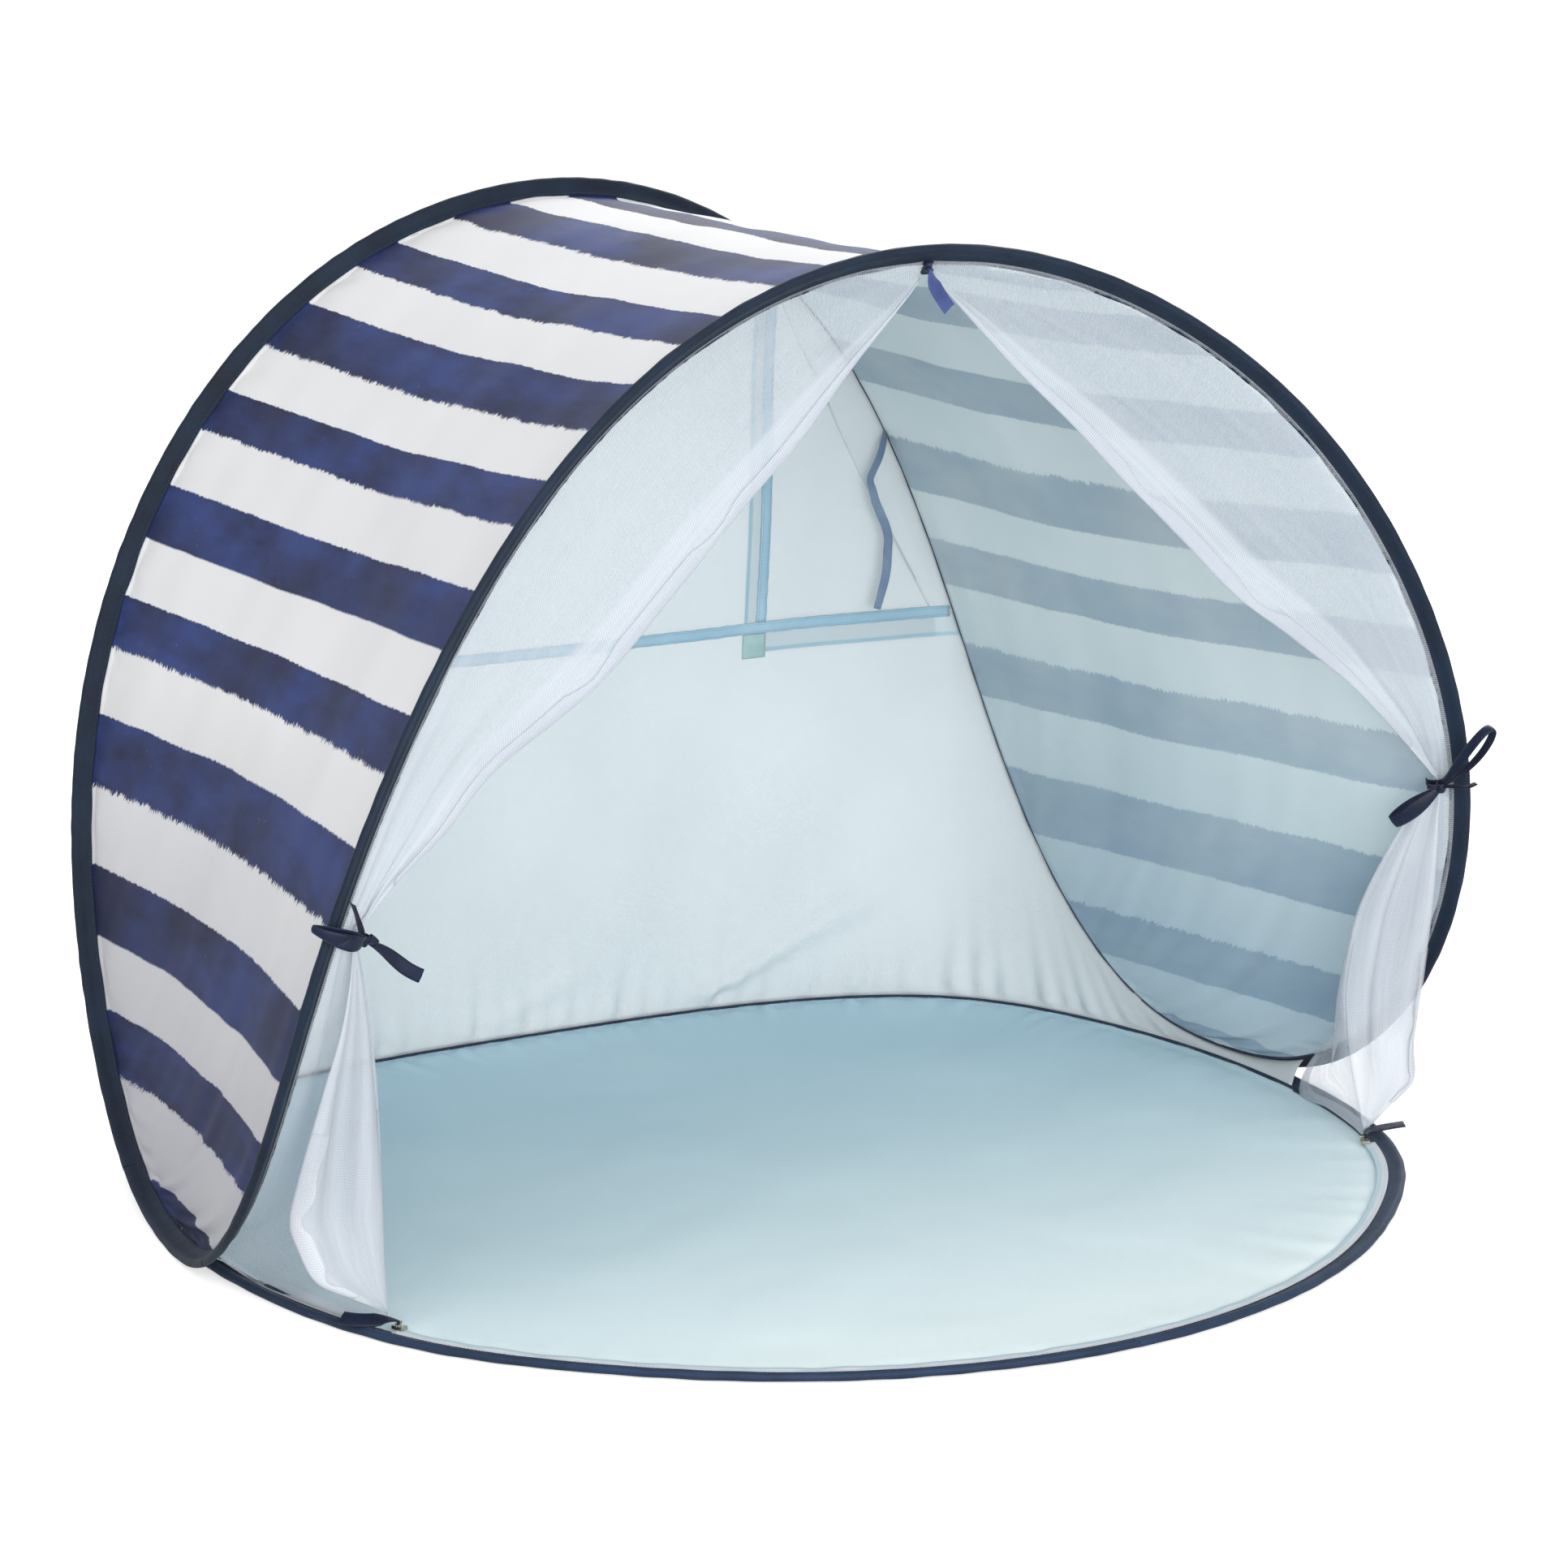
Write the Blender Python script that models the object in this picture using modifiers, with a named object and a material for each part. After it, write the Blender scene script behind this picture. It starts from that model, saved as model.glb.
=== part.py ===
"""Pop-up beach tent for a small child: two sprung wire hoops in fabric sleeves.

The canopy hoop is one closed ring bent into a saddle. It touches the ground at two tips and its two
arches carry the canopy panel. The floor hoop lies flat and holds the floor panel. A back wall with two
vents closes the rear, and a net door, tied back on both sides, closes the front.
X is the width, -Y is the open front, +Z is up, and the ground is at Z = 0. Lengths are in metres.
"""

import math

import bmesh
import bpy
import numpy as np
from mathutils import Vector

# Canopy hoop, measured to the centre of its wire
CANOPY_HALF_WIDTH = 0.572
CANOPY_RISE = 0.826
FRONT_LEAN = 0.348
BACK_LEAN = 0.370
TIP_LINE_Y = 0.100
# Right half of the hoop from the front apex over the ground tip to the back apex: shares of the half
# width, of the lean forward (negative) or back (positive) of the tip line, and of the rise
CANOPY_HOOP_SHARES = (
    (0.000, -0.885, 0.988),
    (0.302, -0.908, 0.946),
    (0.587, -0.963, 0.823),
    (0.815, -1.000, 0.624),
    (0.958, -0.937, 0.380),
    (1.000, -0.698, 0.148),
    (0.980, -0.270, 0.012),
    (0.9585, 0.000, 0.000),
    (0.936, 0.249, 0.016),
    (0.890, 0.697, 0.172),
    (0.822, 0.957, 0.433),
    (0.661, 1.000, 0.712),
    (0.378, 0.935, 0.923),
    (0.000, 0.892, 1.000),
)
CANOPY_TIP_ROW = 7
HOOP_HEART_SHARE = 0.42

# Floor hoop, measured to the centre of its wire; it stands in from the canopy hoop's widest place
FLOOR_INSET = 0.032
FLOOR_HALF_WIDTH = CANOPY_HALF_WIDTH - FLOOR_INSET
FLOOR_FRONT_DEPTH = 0.580
FLOOR_BACK_DEPTH = 0.440
FLOOR_WIDEST_Y = 0.070
# Right half of the floor hoop from the front to the back: shares of the half width and of the depth
# in front of (negative) or behind (positive) the widest line
FLOOR_HOOP_SHARES = (
    (0.000, -1.000),
    (0.265, -0.965),
    (0.515, -0.862),
    (0.715, -0.714),
    (0.868, -0.545),
    (0.970, -0.300),
    (1.000, 0.000),
    (0.948, 0.425),
    (0.800, 0.780),
    (0.475, 0.963),
    (0.000, 1.000),
)
FLOOR_WIDE_ROW = 6
FLOOR_TAIL_DROP_SHARE = 0.17

# Spring wire, crimp ferrules and the folded sleeve tape round the wire
WIRE_RADIUS = 0.0020
FIT_GAP = 0.0003
WIRE_END_GAP = 0.0012
WELD_DISTANCE = 0.00002
FERRULE_WALL = 0.0004
FERRULE_LENGTH = 0.030
SLEEVE_INNER_RADIUS = 0.0032
SLEEVE_CLOTH = 0.0005
SLEEVE_TAIL = 0.0150
SLEEVE_SLOT_HALF = 0.00055
SLEEVE_ARC_STEPS = 6

# Cloth
CLOTH = 0.0005
NET_CLOTH = 0.0005
SEAM_DEPTH = 0.0080
SEAM_CLEAR = 0.0020
LAP_DEPTH = 0.0040
CANOPY_SAG_SHARE = 0.030
CANOPY_ROWS = 5

# Steps along a quarter of each hoop
QUARTER = 20
FLOOR_FRONT_QUARTER = 16
TIP_STEPS = 2

# Back wall with its two vents, whose widths are shares of the canopy's half width
WALL_ROWS = 5
WALL_START_STEPS = 1
SILL_HEIGHT = 0.386
SILL_HALF_SHARE = 0.7762
SILL_HALF_WIDTH = CANOPY_HALF_WIDTH * SILL_HALF_SHARE
VENT_INNER_SHARE = 0.4283
VENT_INNER_X = CANOPY_HALF_WIDTH * VENT_INNER_SHARE
VENT_TOP_Z = 0.712
VENT_OUTER_SHARE = 0.7517
VENT_OUTER_X = CANOPY_HALF_WIDTH * VENT_OUTER_SHARE
HINGE_LAP = 0.003
FLAP_OVERLAP = 0.025
PANEL_JOIN_HALF = 0.00015
TAPE_WIDTH = 0.011
TAPE_CLOTH = 0.0006
TAB_WIDTH = 0.026
TAB_HEIGHT = 0.024
VENT_TIE_WIDTH = 0.006
VENT_TIE_LENGTH = 0.165
VENT_TIE_WAVE = 0.012
VENT_TIE_HEIGHT = 0.575

# Net door, tied back to the front arch
TIE_HEIGHT = 0.350
APEX_STEP_SHARE = 0.3
NET_ROWS = 4
BOTTOM_TAPE_SKIP = 4
NET_TIP_SHARE = 0.75
NET_FOLD = 0.006
NET_EDGE_BOW = 0.012
NET_EDGE_DROP = 0.012
NET_FOOT_BACK = 0.024
NET_FOOT_RISE = 0.012
BUNCH_THICKNESS = 0.0060
BUNCH_WIDTH = 0.0130
DOOR_TAPE_WIDTH = 0.014
# Free edge of the net from the apex to the tie: part of its length, shares of the width and height
NET_EDGE_SHARES = (
    (0.000, 0.00, 1.00),
    (0.167, 0.18, 0.80),
    (0.333, 0.36, 0.61),
    (0.500, 0.56, 0.40),
    (0.667, 0.76, 0.25),
    (0.833, 0.90, 0.11),
    (1.000, 1.00, 0.00),
)
# Hanging net from the tie to the floor: part of its length, then shares of the tie height by which
# the fold (X, Y) and the zipped edge (X, Y, Z) leave the straight line
BUNDLE_SHARES = (
    (0.00, 0.000, 0.000, 0.000, 0.000, 0.000),
    (0.20, -0.045, 0.067, 0.040, 0.000, 0.000),
    (0.40, -0.073, 0.108, 0.096, 0.030, 0.000),
    (0.60, -0.073, 0.108, 0.146, 0.066, 0.000),
    (0.78, -0.050, 0.073, 0.180, 0.090, 0.012),
    (0.88, -0.028, 0.042, 0.149, 0.020, -0.010),
    (1.00, 0.000, 0.000, 0.010, -0.020, 0.016),
)

# Door zip along the front of the floor
FLOOR_SLIDER_Y = -0.200
ZIP_TAPE_WIDTH = 0.015
ZIP_TAPE_CLOTH = 0.0008
SLIDER_LENGTH = 0.0110
SLIDER_WIDTH = 0.0080
SLIDER_HEIGHT = 0.0030
SLIDER_TAPER_SHARE = 0.65
BAIL_RADIUS = 0.0007
BAIL_REACH = 0.0030
BAIL_SPREAD_SHARE = 0.80
PULL_WIDTH = 0.0080
PULL_LOOP_WIDTH = 0.0026
PULL_CLOTH = 0.0010
PULL_WRAP_START = -0.2
FLOOR_PULL_LENGTH = 0.045
TOP_PULL_LENGTH = 0.036
# Headings of each pull from straight behind its slider, at its start and its end, in radians
FLOOR_PULL_TURN_LEFT = (1.10, 0.15)
FLOOR_PULL_TURN_RIGHT = (1.10, 1.15)
TOP_PULL_TURN = (0.55, 0.65)

# Ribbon ties and their bows; the band's path and the knot are measured from the arch's wire, first
# along the sleeve's tail and then to the front of it
TIE_BAND_PATH = (
    (0.0120, 0.0028),
    (0.0160, 0.0036),
    (0.0195, 0.0085),
    (0.0235, 0.0105),
    (0.0285, 0.0100),
    (0.0335, 0.0080),
    (0.0350, 0.0045),
)
TIE_KNOT_PLACE = (0.0235, 0.0160)
RIBBON_WIDTH = 0.0075
RIBBON_CLOTH = 0.0008
BOW_LOOP = 0.040
BOW_LOOP_OPEN = 0.011
BOW_TAIL = 0.060
BOW_KNOT = 0.0090


FORWARD = np.array((0.0, -1.0, 0.0))
VENT_TIE_FACING = np.array((0.9, 0.4, 0.0))


# Scene and naming


def clear_scene():
    for item in list(bpy.data.objects):
        bpy.data.objects.remove(item, do_unlink=True)


def make_collections():
    scene = bpy.context.scene.collection
    made = []
    for name in ("beach_tent", "cutters"):
        group = bpy.data.collections.new(name)
        scene.children.link(group)
        made.append(group)
    return made


def srgb_channel(value):
    return value / 12.92 if value <= 0.04045 else ((value + 0.055) / 1.055) ** 2.4


def make_material(name, colour_hex, roughness, metallic=0.0, alpha=1.0):
    material = bpy.data.materials.new(name)
    material.use_nodes = True
    shader = material.node_tree.nodes["Principled BSDF"]
    channels = [int(colour_hex[i : i + 2], 16) / 255 for i in (0, 2, 4)]
    shader.inputs["Base Color"].default_value = [*map(srgb_channel, channels), 1.0]
    shader.inputs["Roughness"].default_value = roughness
    shader.inputs["Metallic"].default_value = metallic
    shader.inputs["Alpha"].default_value = alpha
    return material


FINISHES = {
    "navy_sleeve": ("2B3A50", 0.70, 0.0, 1.0),
    "spring_steel": ("8C9094", 0.35, 1.0, 1.0),
    "ferrule": ("B8BBBD", 0.30, 1.0, 1.0),
    "striped_canvas": ("E4E4E4", 0.75, 0.0, 1.0),
    "blue_canvas": ("CFE1E7", 0.75, 0.0, 1.0),
    "floor_canvas": ("9BBFCE", 0.70, 0.0, 1.0),
    "wall_tape": ("A9C6D6", 0.70, 0.0, 1.0),
    "grey_tab": ("98B3B4", 0.80, 0.0, 1.0),
    "white_net": ("F2F5F8", 0.80, 0.0, 0.45),
    "white_tape": ("E4E7EE", 0.70, 0.0, 1.0),
    "navy_ribbon": ("222E50", 0.60, 0.0, 1.0),
    "slider_metal": ("A9A79E", 0.35, 1.0, 1.0),
    "slider_navy": ("20283F", 0.45, 0.0, 1.0),
}


def finish(name, finish_name, group, mesh=None, item=None):
    """One named object in the tent's collection with a material of its own."""
    if item is None:
        item = bpy.data.objects.new(name, mesh)
        group.objects.link(item)
    item.name = name
    item.data.name = name
    item.data.materials.clear()
    item.data.materials.append(make_material(name + "_finish", *FINISHES[finish_name]))
    return item


# Curves and frames


def closed_spline(knots, steps):
    """Points on the periodic cubic spline through the knots, spaced by chord length."""
    knots = np.asarray(knots, float)
    count = len(knots)
    after = np.roll(knots, -1, axis=0)
    span = np.linalg.norm(after - knots, axis=1)
    slope = (after - knots) / span[:, None]
    before = np.roll(span, 1)
    matrix = np.zeros((count, count))
    for i in range(count):
        matrix[i, i - 1] += before[i]
        matrix[i, i] += 2 * (before[i] + span[i])
        matrix[i, (i + 1) % count] += span[i]
    bend = np.linalg.solve(matrix, 6 * (slope - np.roll(slope, 1, axis=0)))
    points = []
    for i in range(count):
        j = (i + 1) % count
        for step in range(steps):
            along = step / steps * span[i]
            left = span[i] - along
            points.append(
                (bend[i] * left**3 + bend[j] * along**3) / (6 * span[i])
                + (knots[i] / span[i] - bend[i] * span[i] / 6) * left
                + (knots[j] / span[i] - bend[j] * span[i] / 6) * along
            )
    return np.array(points)


def evenly(points, count):
    """The polyline's points moved to equal steps along it."""
    points = np.asarray(points, float)
    length = np.concatenate(
        [[0.0], np.cumsum(np.linalg.norm(np.diff(points, axis=0), axis=1))]
    )
    wanted = np.linspace(0.0, length[-1], count + 1)
    return np.stack(
        [np.interp(wanted, length, points[:, axis]) for axis in range(3)], axis=1
    )


def unit(vectors):
    vectors = np.asarray(vectors, float)
    return vectors / np.linalg.norm(vectors, axis=-1, keepdims=True)


class Hoop:
    """A closed hoop with, at each sample, its direction, the way its sleeve's tail points and the side.

    Samples run from the front over the left side to the back and round by the right side.
    """

    def __init__(self, knots, corner_knots, quarter_steps, inward):
        dense_steps = 24
        dense = closed_spline(knots, dense_steps)
        corners = [c * dense_steps for c in corner_knots] + [len(dense)]
        dense = np.concatenate([dense, dense[:1]])
        parts = [
            evenly(dense[corners[i] : corners[i + 1] + 1], quarter_steps[i])[:-1]
            for i in range(4)
        ]
        self.point = np.concatenate(parts)
        self.count = len(self.point)
        self.along = unit(
            np.roll(self.point, -1, axis=0) - np.roll(self.point, 1, axis=0)
        )
        toward = inward(self.point)
        across = toward - (toward * self.along).sum(1)[:, None] * self.along
        self.tail = unit(across)
        self.side = unit(np.cross(self.along, self.tail))

    def at(self, index):
        """Point, direction, tail and side at a sample, or between two samples."""
        low = math.floor(index)
        part = index - low
        here = low % self.count
        there = (low + 1) % self.count
        mixed = [
            table[here] * (1 - part) + table[there] * part
            for table in (self.point, self.along, self.tail, self.side)
        ]
        return mixed[0], unit(mixed[1]), unit(mixed[2]), unit(mixed[3])

    def place(self, index, tail, side):
        point, _, tail_way, side_way = self.at(index)
        return point + tail_way * tail + side_way * side

    def step_length(self, index):
        here = self.point[math.floor(index) % self.count]
        there = self.point[(math.floor(index) + 1) % self.count]
        return float(np.linalg.norm(there - here))


def canopy_hoop():
    base = SLEEVE_INNER_RADIUS + SLEEVE_CLOTH
    half = []
    for across, lean, rise in CANOPY_HOOP_SHARES:
        depth = lean * (FRONT_LEAN if lean < 0 else BACK_LEAN)
        half.append(
            (
                -across * CANOPY_HALF_WIDTH,
                TIP_LINE_Y + depth,
                base + rise * CANOPY_RISE,
            )
        )
    other = [(-x, y, z) for x, y, z in half[-2:0:-1]]
    last = len(half) - 1
    corners = [0, CANOPY_TIP_ROW, last, 2 * last - CANOPY_TIP_ROW]
    heart = np.array((0.0, TIP_LINE_Y, HOOP_HEART_SHARE * CANOPY_RISE))
    return Hoop(half + other, corners, [QUARTER] * 4, lambda p: heart - p)


def floor_hoop():
    base = SLEEVE_INNER_RADIUS + SLEEVE_CLOTH
    half = []
    for across, depth in FLOOR_HOOP_SHARES:
        reach = depth * (FLOOR_FRONT_DEPTH if depth < 0 else FLOOR_BACK_DEPTH)
        half.append((-across * FLOOR_HALF_WIDTH, FLOOR_WIDEST_Y + reach, base))
    other = [(-x, y, z) for x, y, z in half[-2:0:-1]]
    last = len(half) - 1
    corners = [0, FLOOR_WIDE_ROW, last, 2 * last - FLOOR_WIDE_ROW]
    steps = [FLOOR_FRONT_QUARTER, QUARTER, QUARTER, FLOOR_FRONT_QUARTER]

    def inward(points):
        flat = np.array((0.0, FLOOR_WIDEST_Y, base)) - points
        flat = unit(flat)
        flat[:, 2] = -FLOOR_TAIL_DROP_SHARE
        return flat

    return Hoop(half + other, corners, steps, inward)


# Solids


def mesh_from(name, points, faces):
    mesh = bpy.data.meshes.new(name)
    mesh.from_pydata([tuple(p) for p in points], [], faces)
    work = bmesh.new()
    work.from_mesh(mesh)
    bmesh.ops.recalc_face_normals(work, faces=work.faces)
    work.to_mesh(mesh)
    work.free()
    return mesh


def grid_faces(columns, rows, points):
    """Triangles of a grid whose columns may meet at one point; the diagonals mirror at mid-grid."""
    merged = {}
    index = []
    kept = []
    for point in points:
        key = tuple(round(float(value) * 1e7) for value in point)
        if key not in merged:
            merged[key] = len(kept)
            kept.append(point)
        index.append(merged[key])
    faces = []
    for column in range(columns - 1):
        for row in range(rows - 1):
            corner = column * rows + row
            a, b, c, d = (index[corner + i] for i in (0, 1, rows + 1, rows))
            split = [(a, b, c), (a, c, d)] if 2 * column + 1 < columns else [(a, b, d), (b, c, d)]
            faces += [face for face in split if len(set(face)) == 3]
    return kept, faces


def sheet(name, finish_name, group, columns, thickness):
    """A cloth of even thickness over a grid given as columns of points."""
    rows = len(columns[0])
    points = [point for column in columns for point in column]
    kept, faces = grid_faces(len(columns), rows, points)
    item = finish(name, finish_name, group, mesh_from(name, kept, faces))
    shell = item.modifiers.new("Thickness", "SOLIDIFY")
    shell.thickness = thickness
    shell.offset = 0.0
    shell.use_even_offset = False
    return item


def lofted(name, finish_name, group, sections, closed=False, caps=None):
    """A solid skin over rings of points; caps lists the faces that close each end."""
    size = len(sections[0])
    points = [point for section in sections for point in section]
    faces = []
    spans = len(sections) if closed else len(sections) - 1
    for span in range(spans):
        near = span * size
        far = (span + 1) % len(sections) * size
        for i in range(size):
            j = (i + 1) % size
            faces.append((near + i, near + j, far + j, far + i))
    if not closed:
        last = (len(sections) - 1) * size
        for cap in caps:
            faces.append(tuple(cap))
            faces.append(tuple(last + i for i in reversed(cap)))
    return finish(name, finish_name, group, mesh_from(name, points, faces))


def sleeve_section():
    """The folded tape across: a bulb round the wire and two layers with a slot between them.

    Returns the ring as (tail, side) pairs, outer skin first, and the faces that close an end.
    """
    outer_radius = SLEEVE_INNER_RADIUS + SLEEVE_CLOTH
    outer_half = SLEEVE_SLOT_HALF + SLEEVE_CLOTH
    start = math.asin(outer_half / outer_radius)
    angles = [
        start + (2 * math.pi - 2 * start) * step / SLEEVE_ARC_STEPS
        for step in range(SLEEVE_ARC_STEPS + 1)
    ]

    def skin(radius, half):
        arc = [(radius * math.cos(a), radius * math.sin(a)) for a in angles]
        return [(SLEEVE_TAIL, half)] + arc + [(SLEEVE_TAIL, -half)]

    outer = skin(outer_radius, outer_half)
    inner = skin(SLEEVE_INNER_RADIUS, SLEEVE_SLOT_HALF)
    count = len(outer)
    ring = outer + inner[::-1]
    caps = [(k, k + 1, 2 * count - 2 - k, 2 * count - 1 - k) for k in range(count - 1)]
    return ring, caps


def stretch(hoop, first, last, gap):
    """Samples of one piece of the hoop, its ends drawn back by half of a gap."""
    return [
        first + gap / 2 / hoop.step_length(first),
        *range(first + 1, last),
        last - gap / 2 / hoop.step_length(last - 1),
    ]


def sleeve(name, group, hoop, first, last):
    """The sleeve tape from one sample to another, or all the way round."""
    ring, caps = sleeve_section()
    closed = first is None
    stops = list(range(hoop.count)) if closed else stretch(hoop, first, last, FIT_GAP)
    sections = [[hoop.place(stop, n, b) for n, b in ring] for stop in stops]
    return lofted(name, "navy_sleeve", group, sections, closed, caps)


def wire(name, group, hoop, first, last):
    """Round spring wire along the hoop, as a bevelled poly curve."""
    closed = first is None
    stops = list(range(hoop.count)) if closed else stretch(hoop, first, last, WIRE_END_GAP)
    curve = bpy.data.curves.new(name, "CURVE")
    curve.dimensions = "3D"
    curve.bevel_depth = WIRE_RADIUS
    curve.bevel_resolution = 1
    curve.use_fill_caps = not closed
    line = curve.splines.new("POLY")
    line.points.add(len(stops) - 1)
    for knot, stop in zip(line.points, stops):
        knot.co = (*hoop.at(stop)[0], 1.0)
    line.use_cyclic_u = closed
    item = bpy.data.objects.new(name, curve)
    group.objects.link(item)
    weld = item.modifiers.new("Weld", "WELD")
    weld.merge_threshold = WELD_DISTANCE
    return finish(name, "spring_steel", group, item=item)


def ferrule(name, group, hoop, index):
    """Crimp tube round the wire where its two ends meet: a wall profile turned with a Screw modifier."""
    bore = WIRE_RADIUS + FIT_GAP
    outer = bore + FERRULE_WALL
    half = FERRULE_LENGTH / 2
    profile = [(bore, half), (bore, -half), (outer, -half), (outer, half)]
    mesh = bpy.data.meshes.new(name)
    mesh.from_pydata(
        [(r, 0.0, z) for r, z in profile], [(0, 1), (1, 2), (2, 3), (3, 0)], []
    )
    item = finish(name, "ferrule", group, mesh)
    turn = item.modifiers.new("Turn", "SCREW")
    turn.steps = 12
    turn.render_steps = 12
    turn.use_merge_vertices = True
    turn.merge_threshold = 0.00001
    turn.use_normal_calculate = True
    turn.use_normal_flip = True
    point, along, _, _ = hoop.at(index)
    item.location = point
    item.rotation_mode = "QUATERNION"
    item.rotation_quaternion = Vector(along).to_track_quat("Z", "Y")
    return item


def ribbon(name, finish_name, group, path, wide, width, thickness):
    """A flat tape along a path; wide gives the way its width points at each path point."""
    path = np.asarray(path, float)
    wide = np.broadcast_to(np.asarray(wide, float), path.shape)
    width = np.broadcast_to(np.asarray(width, float), len(path))
    ahead = np.gradient(path, axis=0)
    thin = unit(np.cross(ahead, wide))
    wide = unit(np.cross(thin, ahead))
    half_wide = wide * width[:, None] / 2
    half_thin = thin * thickness / 2
    sections = [
        [p - w - t, p + w - t, p + w + t, p - w + t]
        for p, w, t in zip(path, half_wide, half_thin)
    ]
    return lofted(name, finish_name, group, sections, caps=[(0, 1, 2, 3)])


def cut(item, cutter, operation):
    change = item.modifiers.new(cutter.name, "BOOLEAN")
    change.object = cutter
    change.operation = operation
    change.solver = "EXACT"


# Floor


def build_floor(group, floor):
    sleeve("floor_sleeve", group, floor, None, None)
    wire("floor_wire", group, floor, None, None)
    ferrule("floor_wire_ferrule", group, floor, floor.count // 2 - 0.5)
    mouth = SLEEVE_TAIL + SEAM_CLEAR
    rings = []
    for inset, flat in ((SLEEVE_TAIL - SEAM_DEPTH, False), (mouth, False), (2 * mouth, True)):
        ring = []
        for index in range(floor.count):
            point = floor.place(index, inset, 0.0)
            if flat:
                point[2] = CLOTH / 2
            ring.append(point)
        rings.append(ring)
    points = [p for ring in rings for p in ring]
    count = floor.count
    faces = []
    for ring in range(2):
        for i in range(count):
            j = (i + 1) % count
            faces.append(
                (ring * count + i, ring * count + j, (ring + 1) * count + j, (ring + 1) * count + i)
            )
    faces.append(tuple(2 * count + i for i in range(count)))
    mesh = mesh_from("floor_panel", points, faces)
    item = finish("floor_panel", "floor_canvas", group, mesh)
    shell = item.modifiers.new("Thickness", "SOLIDIFY")
    shell.thickness = CLOTH
    shell.offset = 0.0


# Canopy


def build_canopy(group, hoop):
    tip_left = QUARTER
    tip_right = 3 * QUARTER
    names = (
        ("front_arch", tip_right + TIP_STEPS - hoop.count, tip_left - TIP_STEPS),
        ("tip_left", tip_left - TIP_STEPS, tip_left + TIP_STEPS),
        ("back_arch", tip_left + TIP_STEPS, tip_right - TIP_STEPS),
        ("tip_right", tip_right - TIP_STEPS, tip_right + TIP_STEPS),
    )
    for name, first, last in names:
        sleeve(name + "_sleeve", group, hoop, first, last)
        wire(name + "_wire", group, hoop, first, last)
    ferrule("canopy_wire_ferrule", group, hoop, 2 * QUARTER + 0.5)
    heart = np.array((0.0, TIP_LINE_Y, HOOP_HEART_SHARE * CANOPY_RISE))
    seam = SLEEVE_TAIL - SEAM_DEPTH
    mouth = SLEEVE_TAIL + SEAM_CLEAR
    columns = []
    for step in range(2 * QUARTER + 1):
        ahead = hoop.place(tip_left - step, mouth, 0.0)
        behind = hoop.place(tip_left + step, mouth, 0.0)
        span = np.linalg.norm(behind - ahead)
        column = [hoop.place(tip_left - step, seam, 0.0), ahead]
        for row in range(1, CANOPY_ROWS):
            part = row / CANOPY_ROWS
            point = ahead * (1 - part) + behind * part
            sag = 4 * part * (1 - part) * CANOPY_SAG_SHARE * span
            column.append(point + unit(heart - point) * sag)
        column += [behind, hoop.place(tip_left + step, seam, 0.0)]
        columns.append(column)
    sheet("canopy_panel", "striped_canvas", group, columns, CLOTH)


# Back wall


class Wall:
    """The cloth between the back arch and the back of the floor, as columns of points."""

    def __init__(self, hoop, floor):
        lap = SLEEVE_SLOT_HALF + SLEEVE_CLOTH + FIT_GAP + CLOTH / 2
        first = WALL_START_STEPS
        last = 2 * QUARTER - WALL_START_STEPS
        columns = []
        for step in range(first, last + 1):
            top = hoop.place(QUARTER + step, SLEEVE_TAIL - LAP_DEPTH, lap)
            foot = floor.place(FLOOR_FRONT_QUARTER + step, SLEEVE_TAIL - LAP_DEPTH, -lap)
            parts = [row / WALL_ROWS for row in range(WALL_ROWS + 1)]
            columns.append([top * (1 - part) + foot * part for part in parts])
        self.grid = np.array(columns)
        along = np.gradient(self.grid, axis=0)
        down = np.gradient(self.grid, axis=1)
        self.outward = unit(np.cross(down, along))
        self.outward *= np.sign(self.outward[len(columns) // 2, 0, 1])

    def layer(self, offset):
        """The wall's columns moved off its middle surface, outward to the rear."""
        return self.grid + self.outward * offset

    def depth(self, x, z):
        """Y of the wall's middle surface at a place seen from the front."""
        top = self.grid[:, 0]
        foot = self.grid[:, -1]
        part = (top[:, 2] - z) / (top[:, 2] - foot[:, 2])
        reached = part >= 0
        here = top * (1 - part[:, None]) + foot * part[:, None]
        return float(np.interp(x, here[reached, 0], here[reached, 1]))


def region(name, group, outline):
    """A cutter in front of and behind the back half of the tent over an outline in X and Z."""
    count = len(outline)
    points = [(x, y, z) for y in (0.0, 3 * BACK_LEAN) for x, z in outline]
    faces = [tuple(range(count)), tuple(range(2 * count - 1, count - 1, -1))]
    for i in range(count):
        j = (i + 1) % count
        faces.append((i, j, count + j, count + i))
    item = bpy.data.objects.new(name, mesh_from(name, points, faces))
    group.objects.link(item)
    item.hide_render = True
    item.display_type = "WIRE"
    return item


def wall_piece(name, finish_name, group, cutters, columns, thickness, outline):
    piece = sheet(name, finish_name, group, columns, thickness)
    cut(piece, region(name + "_region", cutters, outline), "INTERSECT")
    return piece


def rectangle(low_x, low_z, high_x, high_z):
    return [(low_x, low_z), (high_x, low_z), (high_x, high_z), (low_x, high_z)]


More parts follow.
